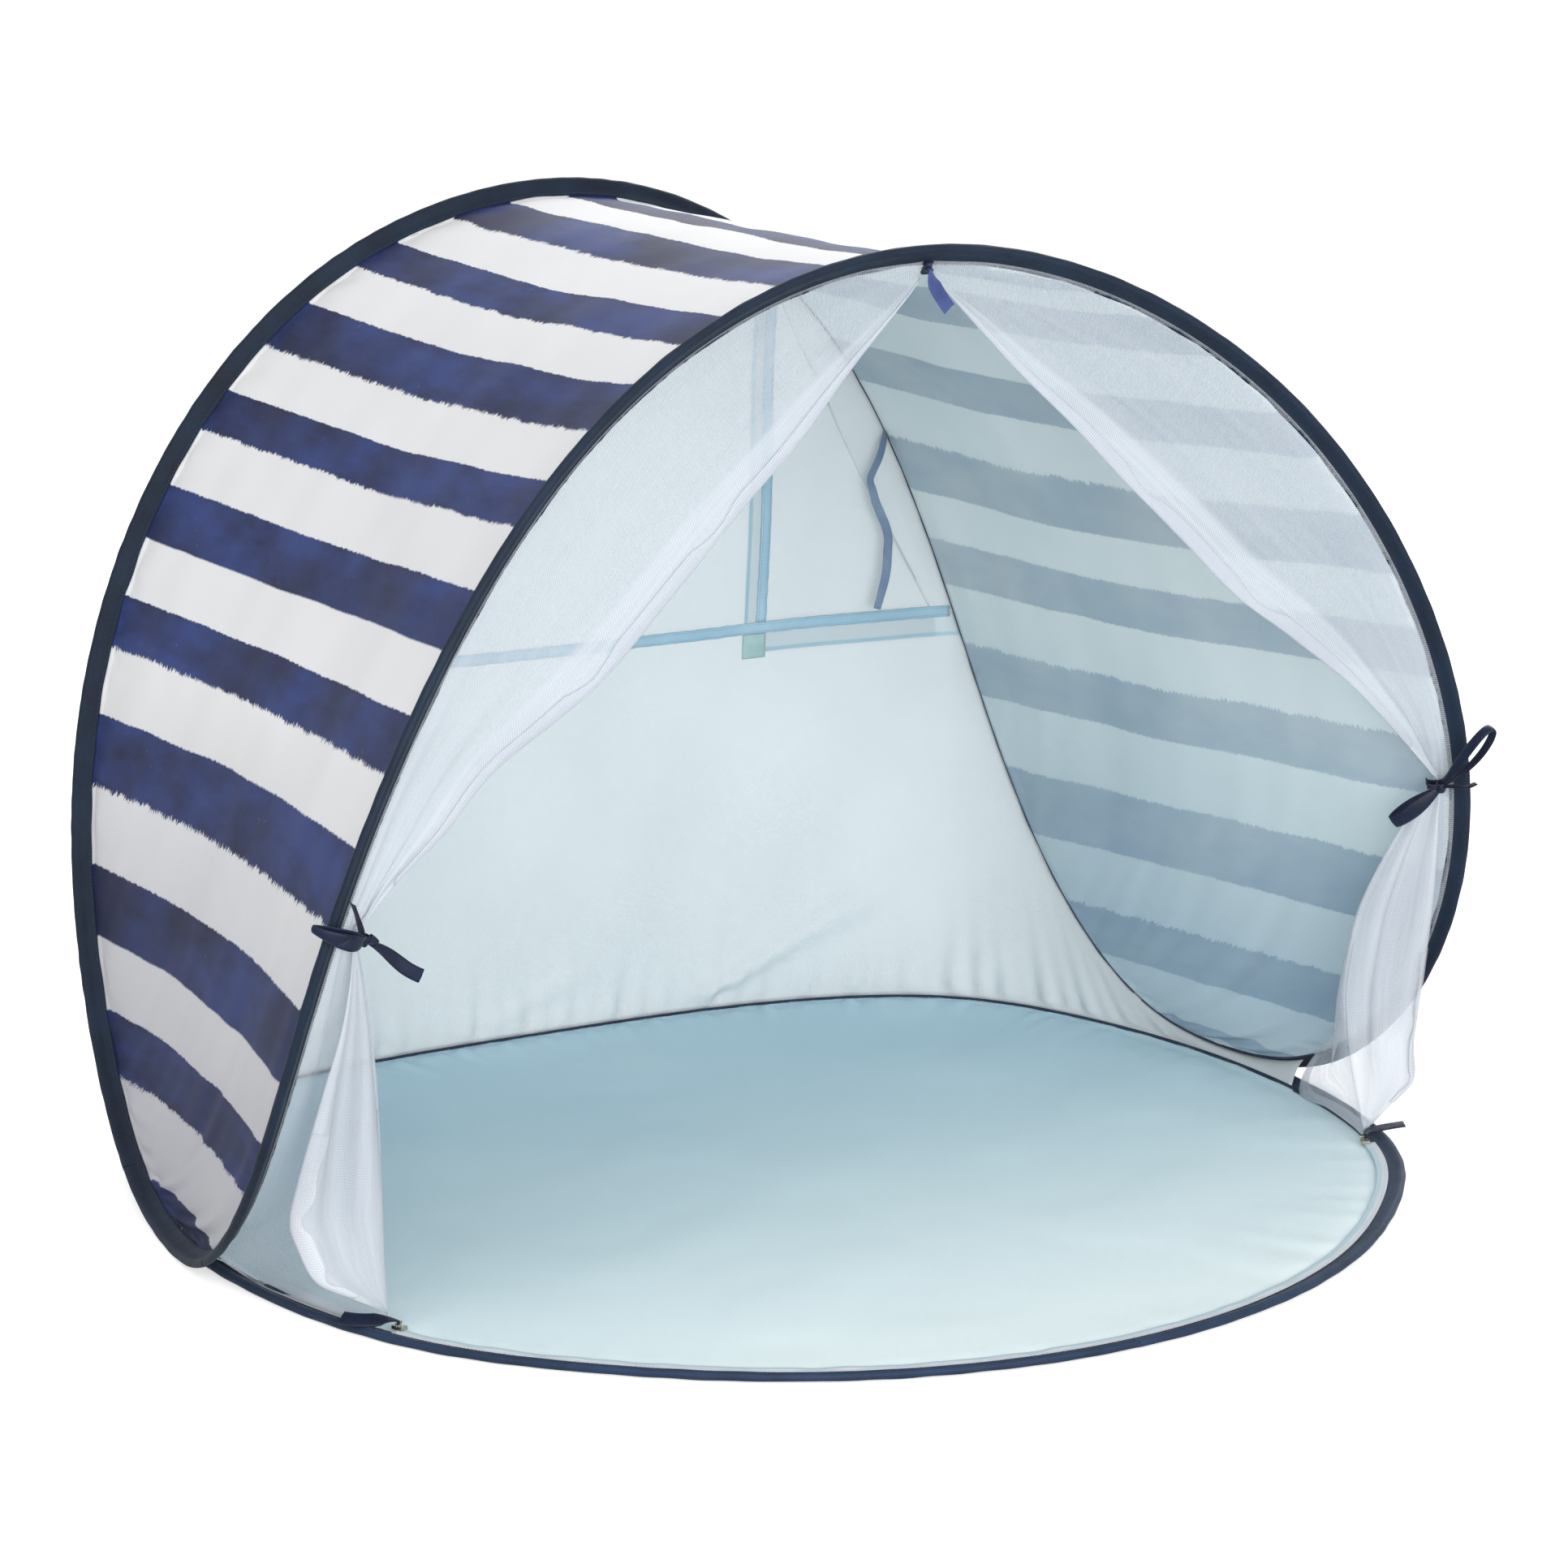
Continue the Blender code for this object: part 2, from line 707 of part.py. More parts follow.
def build_wall(group, cutters, wall):
    """The wall's panels, and on it the two vents with their flaps, tapes and tabs."""
    cloth = wall.layer(0.0)
    wide = CANOPY_HALF_WIDTH * 1.5
    high = CANOPY_RISE * 1.5
    join = PANEL_JOIN_HALF
    blue = ("blue_canvas", group, cutters, cloth, CLOTH)
    base = SILL_HEIGHT + join
    side_x = VENT_INNER_X + join
    wall_piece("back_wall_lower", *blue, rectangle(-wide, -high, wide, SILL_HEIGHT - join))
    wall_piece("back_wall_centre", *blue, rectangle(join - VENT_INNER_X, base, VENT_INNER_X - join, high))
    fold = unit((VENT_OUTER_X - VENT_INNER_X, SILL_HEIGHT - VENT_TOP_Z))
    free_x = VENT_INNER_X - FLAP_OVERLAP
    free_z = SILL_HEIGHT - FLAP_OVERLAP
    lap = np.array((-fold[1], fold[0])) * HINGE_LAP
    facing = [
        (VENT_OUTER_X, base),
        (wide, base),
        (wide, high),
        (side_x, high),
        (side_x, VENT_TOP_Z),
    ]
    flap = [
        (free_x, free_z),
        (VENT_OUTER_X, free_z),
        (VENT_OUTER_X, SILL_HEIGHT) + lap,
        (VENT_INNER_X, VENT_TOP_Z) + lap,
        (free_x, VENT_TOP_Z),
    ]
    outer = wall.layer(CLOTH + FIT_GAP)
    inner = wall.layer(-(CLOTH / 2 + FIT_GAP + TAPE_CLOTH / 2))
    half = TAPE_WIDTH / 2
    low_edge = SILL_HEIGHT - half - FIT_GAP
    tape = rectangle(VENT_INNER_X - TAPE_WIDTH, SILL_HEIGHT + half + FIT_GAP, VENT_INNER_X, VENT_TOP_Z)
    tab = rectangle(VENT_INNER_X - TAB_WIDTH, low_edge - TAB_HEIGHT, VENT_INNER_X, low_edge)
    sill = rectangle(-SILL_HALF_WIDTH, SILL_HEIGHT - half, SILL_HALF_WIDTH, SILL_HEIGHT + half)
    wall_piece("sill_tape", "wall_tape", group, cutters, inner, TAPE_CLOTH, sill)
    for side, sign in (("left", -1.0), ("right", 1.0)):
        pieces = (
            ("vent_facing_", "blue_canvas", cloth, CLOTH, facing),
            ("vent_flap_", "blue_canvas", outer, CLOTH, flap),
            ("vent_tape_", "wall_tape", inner, TAPE_CLOTH, tape),
            ("vent_tab_", "grey_tab", inner, TAPE_CLOTH, tab),
        )
        for name, finish_name, columns, thickness, outline in pieces:
            shape = [(sign * x, z) for x, z in outline]
            wall_piece(name + side, finish_name, group, cutters, columns, thickness, shape)


def index_at_height(hoop, first, last, height):
    """The sample, or place between two, where the hoop reaches a height."""
    stops = np.arange(first, last + 1)
    heights = np.array([hoop.at(stop)[0][2] for stop in stops])
    order = np.argsort(heights)
    return float(np.interp(height, heights[order], stops[order]))


def build_vent_ties(group, hoop):
    """Ribbons sewn to the back arch, inside, that hold a rolled-up flap."""
    steps = 14
    index = index_at_height(hoop, 2 * QUARTER, 3 * QUARTER, VENT_TIE_HEIGHT)
    start = hoop.place(index, SLEEVE_TAIL + FIT_GAP, SLEEVE_SLOT_HALF + RIBBON_CLOTH / 2)
    _, seam, inward, _ = hoop.at(index)
    for side, sign in (("left", -1.0), ("right", 1.0)):
        mirror = np.array((sign, 1.0, 1.0))
        path = [start * mirror]
        wide = [seam * mirror]
        for step in range(steps + 1):
            part = step / steps
            swing = VENT_TIE_WAVE * math.sin(2.5 * math.pi * part) * part
            out = VENT_TIE_WAVE * (1 - math.exp(-5 * part))
            drop = VENT_TIE_LENGTH * part**1.3
            point = start + inward * (LAP_DEPTH + out) + np.array((-swing, -out / 2, -drop))
            turn = min(1.0, 2 * part)
            path.append(point * mirror)
            wide.append(unit(seam * (1 - turn) + VENT_TIE_FACING * turn) * mirror)
        ribbon("vent_tie_" + side, "navy_ribbon", group, path, wide, VENT_TIE_WIDTH, RIBBON_CLOTH)


# Net door


def slider_index(floor):
    """Place on the right front quarter of the floor hoop where its zip slider is parked."""
    first = FLOOR_FRONT_QUARTER + 2 * QUARTER
    stops = np.arange(first, first + FLOOR_FRONT_QUARTER + 1)
    depths = np.array([floor.at(stop)[0][1] for stop in stops])
    return float(np.interp(-FLOOR_SLIDER_Y, -depths, stops))


def net_hem(hoop, floor, tie):
    """Pairs of points on the net's sewn edge on the right: down the arch, then forward on the floor."""
    lap = SLEEVE_SLOT_HALF + SLEEVE_CLOTH + FIT_GAP + NET_CLOTH / 2
    top = 4 * QUARTER
    pairs = []
    for index in [top - APEX_STEP_SHARE, *range(top - 1, 3 * QUARTER + TIP_STEPS - 1, -1)]:
        hem = hoop.place(index, SLEEVE_TAIL - LAP_DEPTH, lap)
        pairs.append((hem, hoop.place(index, SLEEVE_TAIL + SEAM_CLEAR, lap)))
    first = FLOOR_FRONT_QUARTER + 2 * QUARTER + TIP_STEPS
    end = slider_index(floor) - NET_FOOT_BACK / floor.step_length(first)
    for index in [*range(first, math.ceil(end)), end]:
        hem = floor.place(index, SLEEVE_TAIL - 2 * LAP_DEPTH, -lap)
        pairs.append((hem, floor.place(index, SLEEVE_TAIL - LAP_DEPTH, -lap - LAP_DEPTH / 2)))
    return pairs


def along_shares(table, part):
    """Values of a share table at a part of its length; its first value in each row is the part."""
    table = np.array(table)
    return [float(np.interp(part, table[:, 0], table[:, i])) for i in range(1, table.shape[1])]


def net_columns(hoop, floor, tie):
    """Columns of the right half of the net, from its sewn edge to its free zipped edge.

    Above the tie a column crosses the arch's opening. Below it a column runs to the hanging fold and
    back out to the zipped edge, which hangs in front.
    """
    pairs = net_hem(hoop, floor, tie)
    lap = SLEEVE_SLOT_HALF + SLEEVE_CLOTH + FIT_GAP + NET_CLOTH
    mouth = SLEEVE_TAIL + SEAM_CLEAR
    top = hoop.place(4 * QUARTER - APEX_STEP_SHARE, SLEEVE_TAIL + NET_EDGE_DROP, BUNCH_THICKNESS)
    fold_at = hoop.place(tie, mouth + BUNCH_WIDTH, lap + BUNCH_THICKNESS / 2)
    edge_at = hoop.place(tie, mouth + BUNCH_WIDTH / 2, lap + BUNCH_THICKNESS)
    foot = floor.place(slider_index(floor) - NET_FOOT_BACK / 2 / floor.step_length(0), SLEEVE_TAIL, 0.0)
    foot = foot + np.array((-LAP_DEPTH, 0.0, NET_FOOT_RISE))
    columns = []
    upper = 4 * QUARTER - tie
    arch = tie - 3 * QUARTER - TIP_STEPS
    lower = len(pairs) - 1 - upper
    rows = NET_ROWS
    for column, (hem, start) in enumerate(pairs):
        points = [hem, start]
        if column <= upper:
            part = column / upper
            across, height = along_shares(NET_EDGE_SHARES, part)
            free = np.array(
                (
                    top[0] + (edge_at[0] - top[0]) * across,
                    top[1] + (edge_at[1] - top[1]) * part - NET_EDGE_BOW * math.sin(math.pi * part),
                    edge_at[2] + (top[2] - edge_at[2]) * height,
                )
            )
            gather = part**6
            for row in range(1, 2 * rows + 1):
                share = row / (2 * rows)
                flat = start * (1 - share) + free * share
                if row <= rows:
                    bunch = start * (1 - row / rows) + fold_at * row / rows
                else:
                    bunch = fold_at * (2 - row / rows) + edge_at * (row / rows - 1)
                points.append(flat * (1 - gather) + bunch * gather)
        else:
            step = column - upper
            part = step / arch * NET_TIP_SHARE
            if step > arch:
                part = NET_TIP_SHARE + (1 - NET_TIP_SHARE) * (step - arch) / (lower - arch)
            fold_x, fold_y, edge_x, edge_y, edge_z = along_shares(BUNDLE_SHARES, part)
            line = fold_at * (1 - part) + foot * part
            fold = line + np.array((fold_x, fold_y, 0.0)) * TIE_HEIGHT
            line = edge_at * (1 - part) + foot * part
            edge = line + np.array((edge_x, edge_y, edge_z)) * TIE_HEIGHT
            swell = NET_FOLD * math.sin(math.pi * min(1.0, part / 0.9))
            for row in range(1, rows + 1):
                share = row / rows
                wave = math.sin(2 * math.pi * share) * swell / 2
                points.append(start * (1 - share) + fold * share + FORWARD * wave)
            for row in range(1, rows + 1):
                share = row / rows
                wave = math.sin(3 * math.pi * share) * swell
                points.append(fold * (1 - share) + edge * share + FORWARD * wave)
        columns.append(points)
    return columns


def edge_tape(name, group, columns, width, mirror):
    """A tape on the front of the net along its free edge."""
    lift = NET_CLOTH + FIT_GAP
    tape = []
    for index, column in enumerate(columns):
        ahead = columns[min(index + 1, len(columns) - 1)][-1] - columns[max(index - 1, 0)][-1]
        inward = column[-2] - column[-1]
        reach = min(width, 0.8 * np.linalg.norm(inward))
        face = unit(np.cross(ahead, inward))
        face = face if face @ FORWARD > 0 else -face
        low = column[-1] + face * lift
        tape.append([low * mirror, (low + unit(inward) * reach + face * reach / 8) * mirror])
    sheet(name, "white_tape", group, tape, NET_CLOTH)


def build_net(group, hoop, floor):
    tie = round(index_at_height(hoop, 3 * QUARTER, 4 * QUARTER, TIE_HEIGHT))
    upper = 4 * QUARTER - tie
    columns = net_columns(hoop, floor, tie)
    for side, sign in (("left", -1.0), ("right", 1.0)):
        mirror = np.array((sign, 1.0, 1.0))
        sheet("net_" + side, "white_net", group, [[p * mirror for p in c] for c in columns], NET_CLOTH)
        edge_tape("door_zip_tape_" + side, group, columns[: upper - 1], DOOR_TAPE_WIDTH, mirror)
        lower = columns[upper + BOTTOM_TAPE_SKIP : -1]
        edge_tape("bottom_zip_tape_" + side, group, lower, DOOR_TAPE_WIDTH, mirror)
    return tie


# Floor zip


def zip_rows(floor, index):
    lap = SLEEVE_SLOT_HALF + SLEEVE_CLOTH + FIT_GAP + ZIP_TAPE_CLOTH / 2
    over = floor.place(index, SLEEVE_TAIL - LAP_DEPTH, -lap)
    edge = floor.place(index, SLEEVE_TAIL + FIT_GAP, -lap)
    inner = floor.place(index, SLEEVE_TAIL - LAP_DEPTH + ZIP_TAPE_WIDTH, 0.0)
    inner[2] = CLOTH + FIT_GAP + ZIP_TAPE_CLOTH * 1.5 + FIT_GAP
    return [over, edge, inner]


def build_floor_zip(group, floor):
    index = slider_index(floor)
    last = floor.count
    half = [index] + [i for i in range(math.floor(index) + 1, last + 1)]
    right = [zip_rows(floor, i) for i in half]
    left = [[p * (-1.0, 1.0, 1.0) for p in column] for column in right[:-1]]
    sheet("floor_zip_tape", "white_tape", group, right + left[::-1], ZIP_TAPE_CLOTH)


def slider_body(name, finish_name, group, centre, along, up):
    """A zip slider: a tapered body with a bail on its back for the pull."""
    along = unit(along)
    up = unit(up)
    side = unit(np.cross(up, along))
    half = SLIDER_LENGTH / 2
    wide = SLIDER_WIDTH / 2
    slim = wide * SLIDER_TAPER_SHARE
    ring = [(-half, -slim), (half, -wide), (half, wide), (-half, slim)]
    sections = []
    for height in (0.0, SLIDER_HEIGHT):
        sections.append([centre + along * a + side * s + up * height for a, s in ring])
    body = lofted(name, finish_name, group, sections, caps=[(0, 1, 2, 3)])
    leg = wide * BAIL_SPREAD_SHARE
    rise = SLIDER_HEIGHT + BAIL_REACH
    sunk = SLIDER_HEIGHT - BAIL_RADIUS
    corner = BAIL_RADIUS
    outline = [
        (-leg, sunk),
        (-leg, rise - corner),
        (corner - leg, rise),
        (leg - corner, rise),
        (leg, rise - corner),
        (leg, sunk),
    ]
    path = [centre + side * across + up * height for across, height in outline]
    curve = bpy.data.curves.new(name + "_bail", "CURVE")
    curve.dimensions = "3D"
    curve.bevel_depth = BAIL_RADIUS
    curve.bevel_resolution = 1
    curve.use_fill_caps = True
    line = curve.splines.new("POLY")
    line.points.add(len(path) - 1)
    for knot, point in zip(line.points, path):
        knot.co = (*point, 1.0)
    drawn = bpy.data.objects.new(name + "_bail", curve)
    group.objects.link(drawn)
    depsgraph = bpy.context.evaluated_depsgraph_get()
    mesh = bpy.data.meshes.new_from_object(drawn.evaluated_get(depsgraph))
    work = bmesh.new()
    work.from_mesh(mesh)
    bmesh.ops.remove_doubles(work, verts=work.verts, dist=BAIL_RADIUS / 50)
    work.to_mesh(mesh)
    work.free()
    bpy.data.objects.remove(drawn, do_unlink=True)
    return body, mesh


def join_bail(body, mesh, cutters):
    bail = bpy.data.objects.new(body.name + "_bail", mesh)
    cutters.objects.link(bail)
    bail.hide_render = True
    bail.display_type = "WIRE"
    cut(body, bail, "UNION")


def bail_centre(centre, up):
    return centre + unit(up) * (SLIDER_HEIGHT + BAIL_REACH)


def build_sliders(group, cutters, floor):
    index = slider_index(floor)
    _, travel, inward, _ = floor.at(index)
    bed = zip_rows(floor, index)
    rise = unit(np.cross(bed[2] - bed[1], travel))
    rise = rise if rise[2] > 0 else -rise
    seat = (bed[1] + bed[2]) / 2 + rise * (ZIP_TAPE_CLOTH / 2 + FIT_GAP)
    bar = bail_centre(seat, rise)
    back = -unit(travel - rise * (travel @ rise))
    out = -unit(inward - rise * (inward @ rise))
    turns = (("left", -1.0, FLOOR_PULL_TURN_LEFT), ("right", 1.0, FLOOR_PULL_TURN_RIGHT))
    for side, sign, turn in turns:
        mirror = np.array((sign, 1.0, 1.0))
        name = "floor_slider_" + side
        body, mesh = slider_body(name, "slider_metal", group, seat * mirror, travel * mirror, rise * mirror)
        join_bail(body, mesh, cutters)
        build_pull("floor_pull_" + side, group, bar, back, rise, out, FLOOR_PULL_LENGTH, turn, mirror)


def build_pull(name, group, bar, ahead, up, aside, length, turn, mirror):
    """A ribbon pull: wrapped round the bail's bar, then lying out from it and turned aside."""
    radius = BAIL_RADIUS + FIT_GAP + PULL_CLOTH / 2
    loop_steps = 8
    tail_steps = 8
    path = []
    wide = []
    widths = []
    for step in range(loop_steps + 1):
        angle = math.pi * (PULL_WRAP_START + (1 - PULL_WRAP_START) * step / loop_steps)
        path.append(bar - ahead * math.sin(angle) * radius - up * math.cos(angle) * radius)
        wide.append(aside)
        widths.append(PULL_LOOP_WIDTH)
    place = path[-1]
    for step in range(1, tail_steps + 1):
        part = step / tail_steps
        early, late = turn
        heading = early * min(1.0, 3 * part) + (late - early) * max(0.0, 1.5 * part - 0.5)
        way = unit(ahead * math.cos(heading) + aside * math.sin(heading))
        place = place + way * length / tail_steps
        path.append(place)
        wide.append(unit(aside * math.cos(heading) - ahead * math.sin(heading)))
        widths.append(PULL_LOOP_WIDTH + (PULL_WIDTH - PULL_LOOP_WIDTH) * min(1.0, 3 * part))
    path = [p * mirror for p in path]
    wide = [w * mirror for w in wide]
    ribbon(name, "navy_ribbon", group, path, wide, widths, PULL_CLOTH)


def build_top_slider(group, cutters, hoop):
    """The closing slider of the upright zip, parked under the apex of the front arch."""
    lap = SLEEVE_SLOT_HALF + SLEEVE_CLOTH + FIT_GAP
    centre = hoop.place(0, SLEEVE_TAIL - LAP_DEPTH + SLIDER_LENGTH / 2, lap)
    _, _, tail, side = hoop.at(0)
    body, mesh = slider_body("top_slider", "slider_navy", group, centre, tail, side)
    join_bail(body, mesh, cutters)
    bar = bail_centre(centre, side)
    down = np.array((0.0, 0.0, -1.0))
    across = np.array((1.0, 0.0, 0.0))
    build_pull("top_pull", group, bar, down, FORWARD, across, TOP_PULL_LENGTH, TOP_PULL_TURN, np.ones(3))


# Ribbon ties


def build_ties(group, cutters, hoop, tie):
    """Ribbons sewn into the arch seam that wrap the gathered net and end in a bow."""
    origin, along, tail, side = hoop.at(tie)
    band = [origin + tail * n + side * b for n, b in TIE_BAND_PATH]
    knot_tail, knot_side = TIE_KNOT_PLACE
    knot = origin + tail * knot_tail + side * knot_side
    for side_name, sign in (("left", -1.0), ("right", 1.0)):
        mirror = np.array((sign, 1.0, 1.0))
        path = [p * mirror for p in band]
        wide = along * mirror
        ribbon("tie_band_" + side_name, "navy_ribbon", group, path, wide, RIBBON_WIDTH, RIBBON_CLOTH)
        build_bow("tie_bow_" + side_name, group, cutters, knot, tail, side, along, mirror)


def build_bow(name, group, cutters, knot, tail, side, along, mirror):
    """A bow of one ribbon: two loops and two tails that meet in a knot."""
    steps = 12
    knot_at = knot * mirror
    bpy.ops.mesh.primitive_uv_sphere_add(segments=12, ring_count=8, radius=BOW_KNOT / 2)
    body = bpy.context.object
    for other in list(body.users_collection):
        other.objects.unlink(body)
    group.objects.link(body)
    body.location = knot_at
    finish(name, "navy_ribbon", group, item=body)
    ways = (
        ("loop_up", unit(-tail * 0.6 - along * 0.6 + side * 0.25), BOW_LOOP),
        ("loop_down", unit(-tail * 0.3 + along * 0.8 + side * 0.3), BOW_LOOP),
    )
    for part_name, way, length in ways:
        over = unit(np.cross(way, side))
        path = []
        for step in range(steps + 1):
            angle = 2 * math.pi * step / steps
            out = length * (1 - math.cos(angle)) / 2
            open_by = BOW_LOOP_OPEN / 2 * math.sin(angle) * math.sqrt(max(0.0, out / length))
            path.append((knot + way * out + side * open_by) * mirror)
        add_ribbon(body, cutters, name + "_" + part_name, path[1:-1], over * mirror)
    tails = (
        ("tail_in", unit(tail * 0.75 + along * 0.6 + side * 0.1), BOW_TAIL),
        ("tail_out", unit(-tail * 0.5 + along * 0.2 + side * 0.5), BOW_TAIL * 0.4),
    )
    for part_name, way, length in tails:
        over = unit(np.cross(way, side))
        path = [(knot + way * length * step / 4) * mirror for step in range(5)]
        add_ribbon(body, cutters, name + "_" + part_name, path, over * mirror)


def add_ribbon(body, cutters, name, path, wide):
    piece = ribbon(name, "navy_ribbon", cutters, path, wide, RIBBON_WIDTH, RIBBON_CLOTH)
    piece.hide_render = True
    piece.display_type = "WIRE"
    cut(body, piece, "UNION")


def main():
    clear_scene()
    group, cutters = make_collections()
    canopy = canopy_hoop()
    floor = floor_hoop()
    build_floor(group, floor)
    build_canopy(group, canopy)
    wall = Wall(canopy, floor)
    build_wall(group, cutters, wall)
    build_vent_ties(group, canopy)
    tie = build_net(group, canopy, floor)
    build_floor_zip(group, floor)
    build_sliders(group, cutters, floor)
    build_top_slider(group, cutters, canopy)
    build_ties(group, cutters, canopy, tie)


main()
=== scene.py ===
import math

import bmesh
import bpy
import numpy as np
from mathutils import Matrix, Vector


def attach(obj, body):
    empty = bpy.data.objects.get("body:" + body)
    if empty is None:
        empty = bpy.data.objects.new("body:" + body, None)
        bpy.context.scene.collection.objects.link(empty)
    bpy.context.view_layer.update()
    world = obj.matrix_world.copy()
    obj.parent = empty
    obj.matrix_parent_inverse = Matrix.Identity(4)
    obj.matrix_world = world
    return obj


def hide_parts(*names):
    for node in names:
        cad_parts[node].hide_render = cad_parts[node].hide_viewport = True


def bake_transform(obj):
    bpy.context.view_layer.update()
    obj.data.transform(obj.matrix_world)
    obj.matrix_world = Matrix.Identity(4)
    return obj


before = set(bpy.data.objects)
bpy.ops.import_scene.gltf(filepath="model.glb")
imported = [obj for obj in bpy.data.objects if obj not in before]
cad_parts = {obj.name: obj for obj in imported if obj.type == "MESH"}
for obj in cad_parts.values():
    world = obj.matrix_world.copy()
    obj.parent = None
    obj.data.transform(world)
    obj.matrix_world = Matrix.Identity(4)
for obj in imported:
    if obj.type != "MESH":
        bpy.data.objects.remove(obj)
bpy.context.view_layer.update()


# The studio. A white floor and a white surround, one broad soft light from the upper left, a second
# in front that reaches under the canopy, and the camera, which stands low before the left corner.


def colour(code):
    """A screen colour such as 'D3E3E8' as linear red, green, blue and alpha."""
    parts = [int(code[i : i + 2], 16) / 255 for i in (0, 2, 4)]
    linear = [p / 12.92 if p <= 0.04045 else ((p + 0.055) / 1.055) ** 2.4 for p in parts]
    return (*linear, 1.0)


def add(tree, kind, inputs=(), **settings):
    """A node of a kind with its settings; each input takes a value or the socket that feeds it."""
    made = tree.nodes.new(kind)
    for name, value in settings.items():
        setattr(made, name, value)
    for name, value in dict(inputs).items():
        if isinstance(value, bpy.types.NodeSocket):
            tree.links.new(value, made.inputs[name])
        else:
            made.inputs[name].default_value = value
    return made


scene = bpy.context.scene
scene.view_settings.view_transform = "Standard"

camera = bpy.data.objects.new("camera", bpy.data.cameras.new("camera"))
scene.collection.objects.link(camera)
scene.camera = camera
camera.data.lens = 96.83
camera.data.clip_end = 60
camera.location = (-1.8007, -3.0213, 1.1327)
camera.rotation_euler = (math.pi / 2 - math.radians(12.586), 0, math.radians(-30.62))

scene.world = bpy.data.worlds.new("surround")
scene.world.use_nodes = True
surround = scene.world.node_tree
surround.nodes.clear()
path = add(surround, "ShaderNodeLightPath").outputs
rays = {0: path["Is Camera Ray"], 1: path["Is Glossy Ray"]}
plain = add(surround, "ShaderNodeMath", rays, operation="MAXIMUM").outputs[0]
white = add(surround, "ShaderNodeBackground", {"Color": (1, 1, 1, 1), "Strength": 1.0}).outputs[0]
fill = add(surround, "ShaderNodeBackground", {"Color": (0.97, 0.985, 1, 1), "Strength": 0.62}).outputs[0]
chosen = add(surround, "ShaderNodeMixShader", {0: plain, 1: fill, 2: white}).outputs[0]
add(surround, "ShaderNodeOutputWorld", {"Surface": chosen})


def soft_light(name, place, target, size, power):
    lamp = bpy.data.lights.new(name, "AREA")
    lamp.energy = power
    lamp.shape = "RECTANGLE"
    lamp.size, lamp.size_y = size
    item = bpy.data.objects.new(name, lamp)
    item.location = place
    item.rotation_euler = (Vector(target) - Vector(place)).to_track_quat("-Z", "Y").to_euler()
    scene.collection.objects.link(item)


soft_light("key_light", (-2.8, -1.2, 3.0), (-0.1, 0.1, 0.3), (2.4, 2.4), 36)
soft_light("front_light", (-0.9, -3.9, 1.1), (0.1, 0.3, 0.35), (3.4, 1.8), 158)
soft_light("back_light", (2.2, 2.4, 2.4), (0.0, 0.2, 0.4), (3.0, 2.4), 95)

FLOOR_REACH = 20
FLOOR_LEVEL = -0.001
floor_corners = []
for x, y in ((-1, -1), (1, -1), (1, 1), (-1, 1)):
    floor_corners.append((x * FLOOR_REACH, y * FLOOR_REACH, FLOOR_LEVEL))
floor_mesh = bpy.data.meshes.new("studio_floor")
floor_mesh.from_pydata(floor_corners, [], [(0, 1, 2, 3)])
studio_floor = bpy.data.objects.new("studio_floor", floor_mesh)
scene.collection.objects.link(studio_floor)
paper = bpy.data.materials.new("white paper")
paper.use_nodes = True
floor_mesh.materials.append(paper)
tree = paper.node_tree
tree.nodes.clear()
lit = add(tree, "ShaderNodeBsdfDiffuse", {"Color": (0.80, 0.80, 0.80, 1)}).outputs[0]
glow = add(tree, "ShaderNodeEmission", {"Color": (1, 1, 1, 1), "Strength": 0.55}).outputs[0]
dark = add(tree, "ShaderNodeEmission", {"Color": (1, 1, 1, 1), "Strength": 0.0}).outputs[0]
seen = add(tree, "ShaderNodeLightPath").outputs["Is Camera Ray"]
extra = add(tree, "ShaderNodeMixShader", {0: seen, 1: dark, 2: glow}).outputs[0]
both = add(tree, "ShaderNodeAddShader", {0: lit, 1: extra}).outputs[0]
add(tree, "ShaderNodeOutputMaterial", {"Surface": both})


# The two sprung hoops. Each is one closed ring of 4 mm spring wire, crimped shut with an aluminium
# ferrule. The canopy's ring is bent into a saddle that touches the ground at two tips; the floor's
# ring lies flat. Both are sewn into sleeves, so the wire itself hardly shows.

CANOPY_HALF_WIDTH = 0.572
CANOPY_RISE = 0.826
FRONT_LEAN = 0.348
BACK_LEAN = 0.370
TIP_LINE_Y = 0.100
WIRE_RADIUS = 0.0020
WIRE_HEIGHT = 0.0037
FLOOR_HALF_WIDTH = 0.540
FLOOR_FRONT_DEPTH = 0.580
FLOOR_BACK_DEPTH = 0.440
FLOOR_WIDEST_Y = 0.070
# How far the floor sleeve's tail dips towards the ground on its way in
FLOOR_TAIL_DIP = -0.17
# The middle of the shelter, which the tails of the canopy's sleeves point at
HEART = np.array((0.0, TIP_LINE_Y, 0.42 * CANOPY_RISE))

# Right half of each ring from the front to the back, as shares of its width, depth and height
CANOPY_RING = (
    (0.000, -0.885, 0.988),
    (0.302, -0.908, 0.946),
    (0.587, -0.963, 0.823),
    (0.815, -1.000, 0.624),
    (0.958, -0.937, 0.380),
    (1.000, -0.698, 0.148),
    (0.980, -0.270, 0.012),
    (0.9585, 0.000, 0.000),
    (0.936, 0.249, 0.016),
    (0.890, 0.697, 0.172),
    (0.822, 0.957, 0.433),
    (0.661, 1.000, 0.712),
    (0.378, 0.935, 0.923),
    (0.000, 0.892, 1.000),
)
FLOOR_RING = (
    (0.000, -1.000),
    (0.265, -0.965),
    (0.515, -0.862),
    (0.715, -0.714),
    (0.868, -0.545),
    (0.970, -0.300),
    (1.000, 0.000),
    (0.948, 0.425),
    (0.800, 0.780),
    (0.475, 0.963),
    (0.000, 1.000),
)


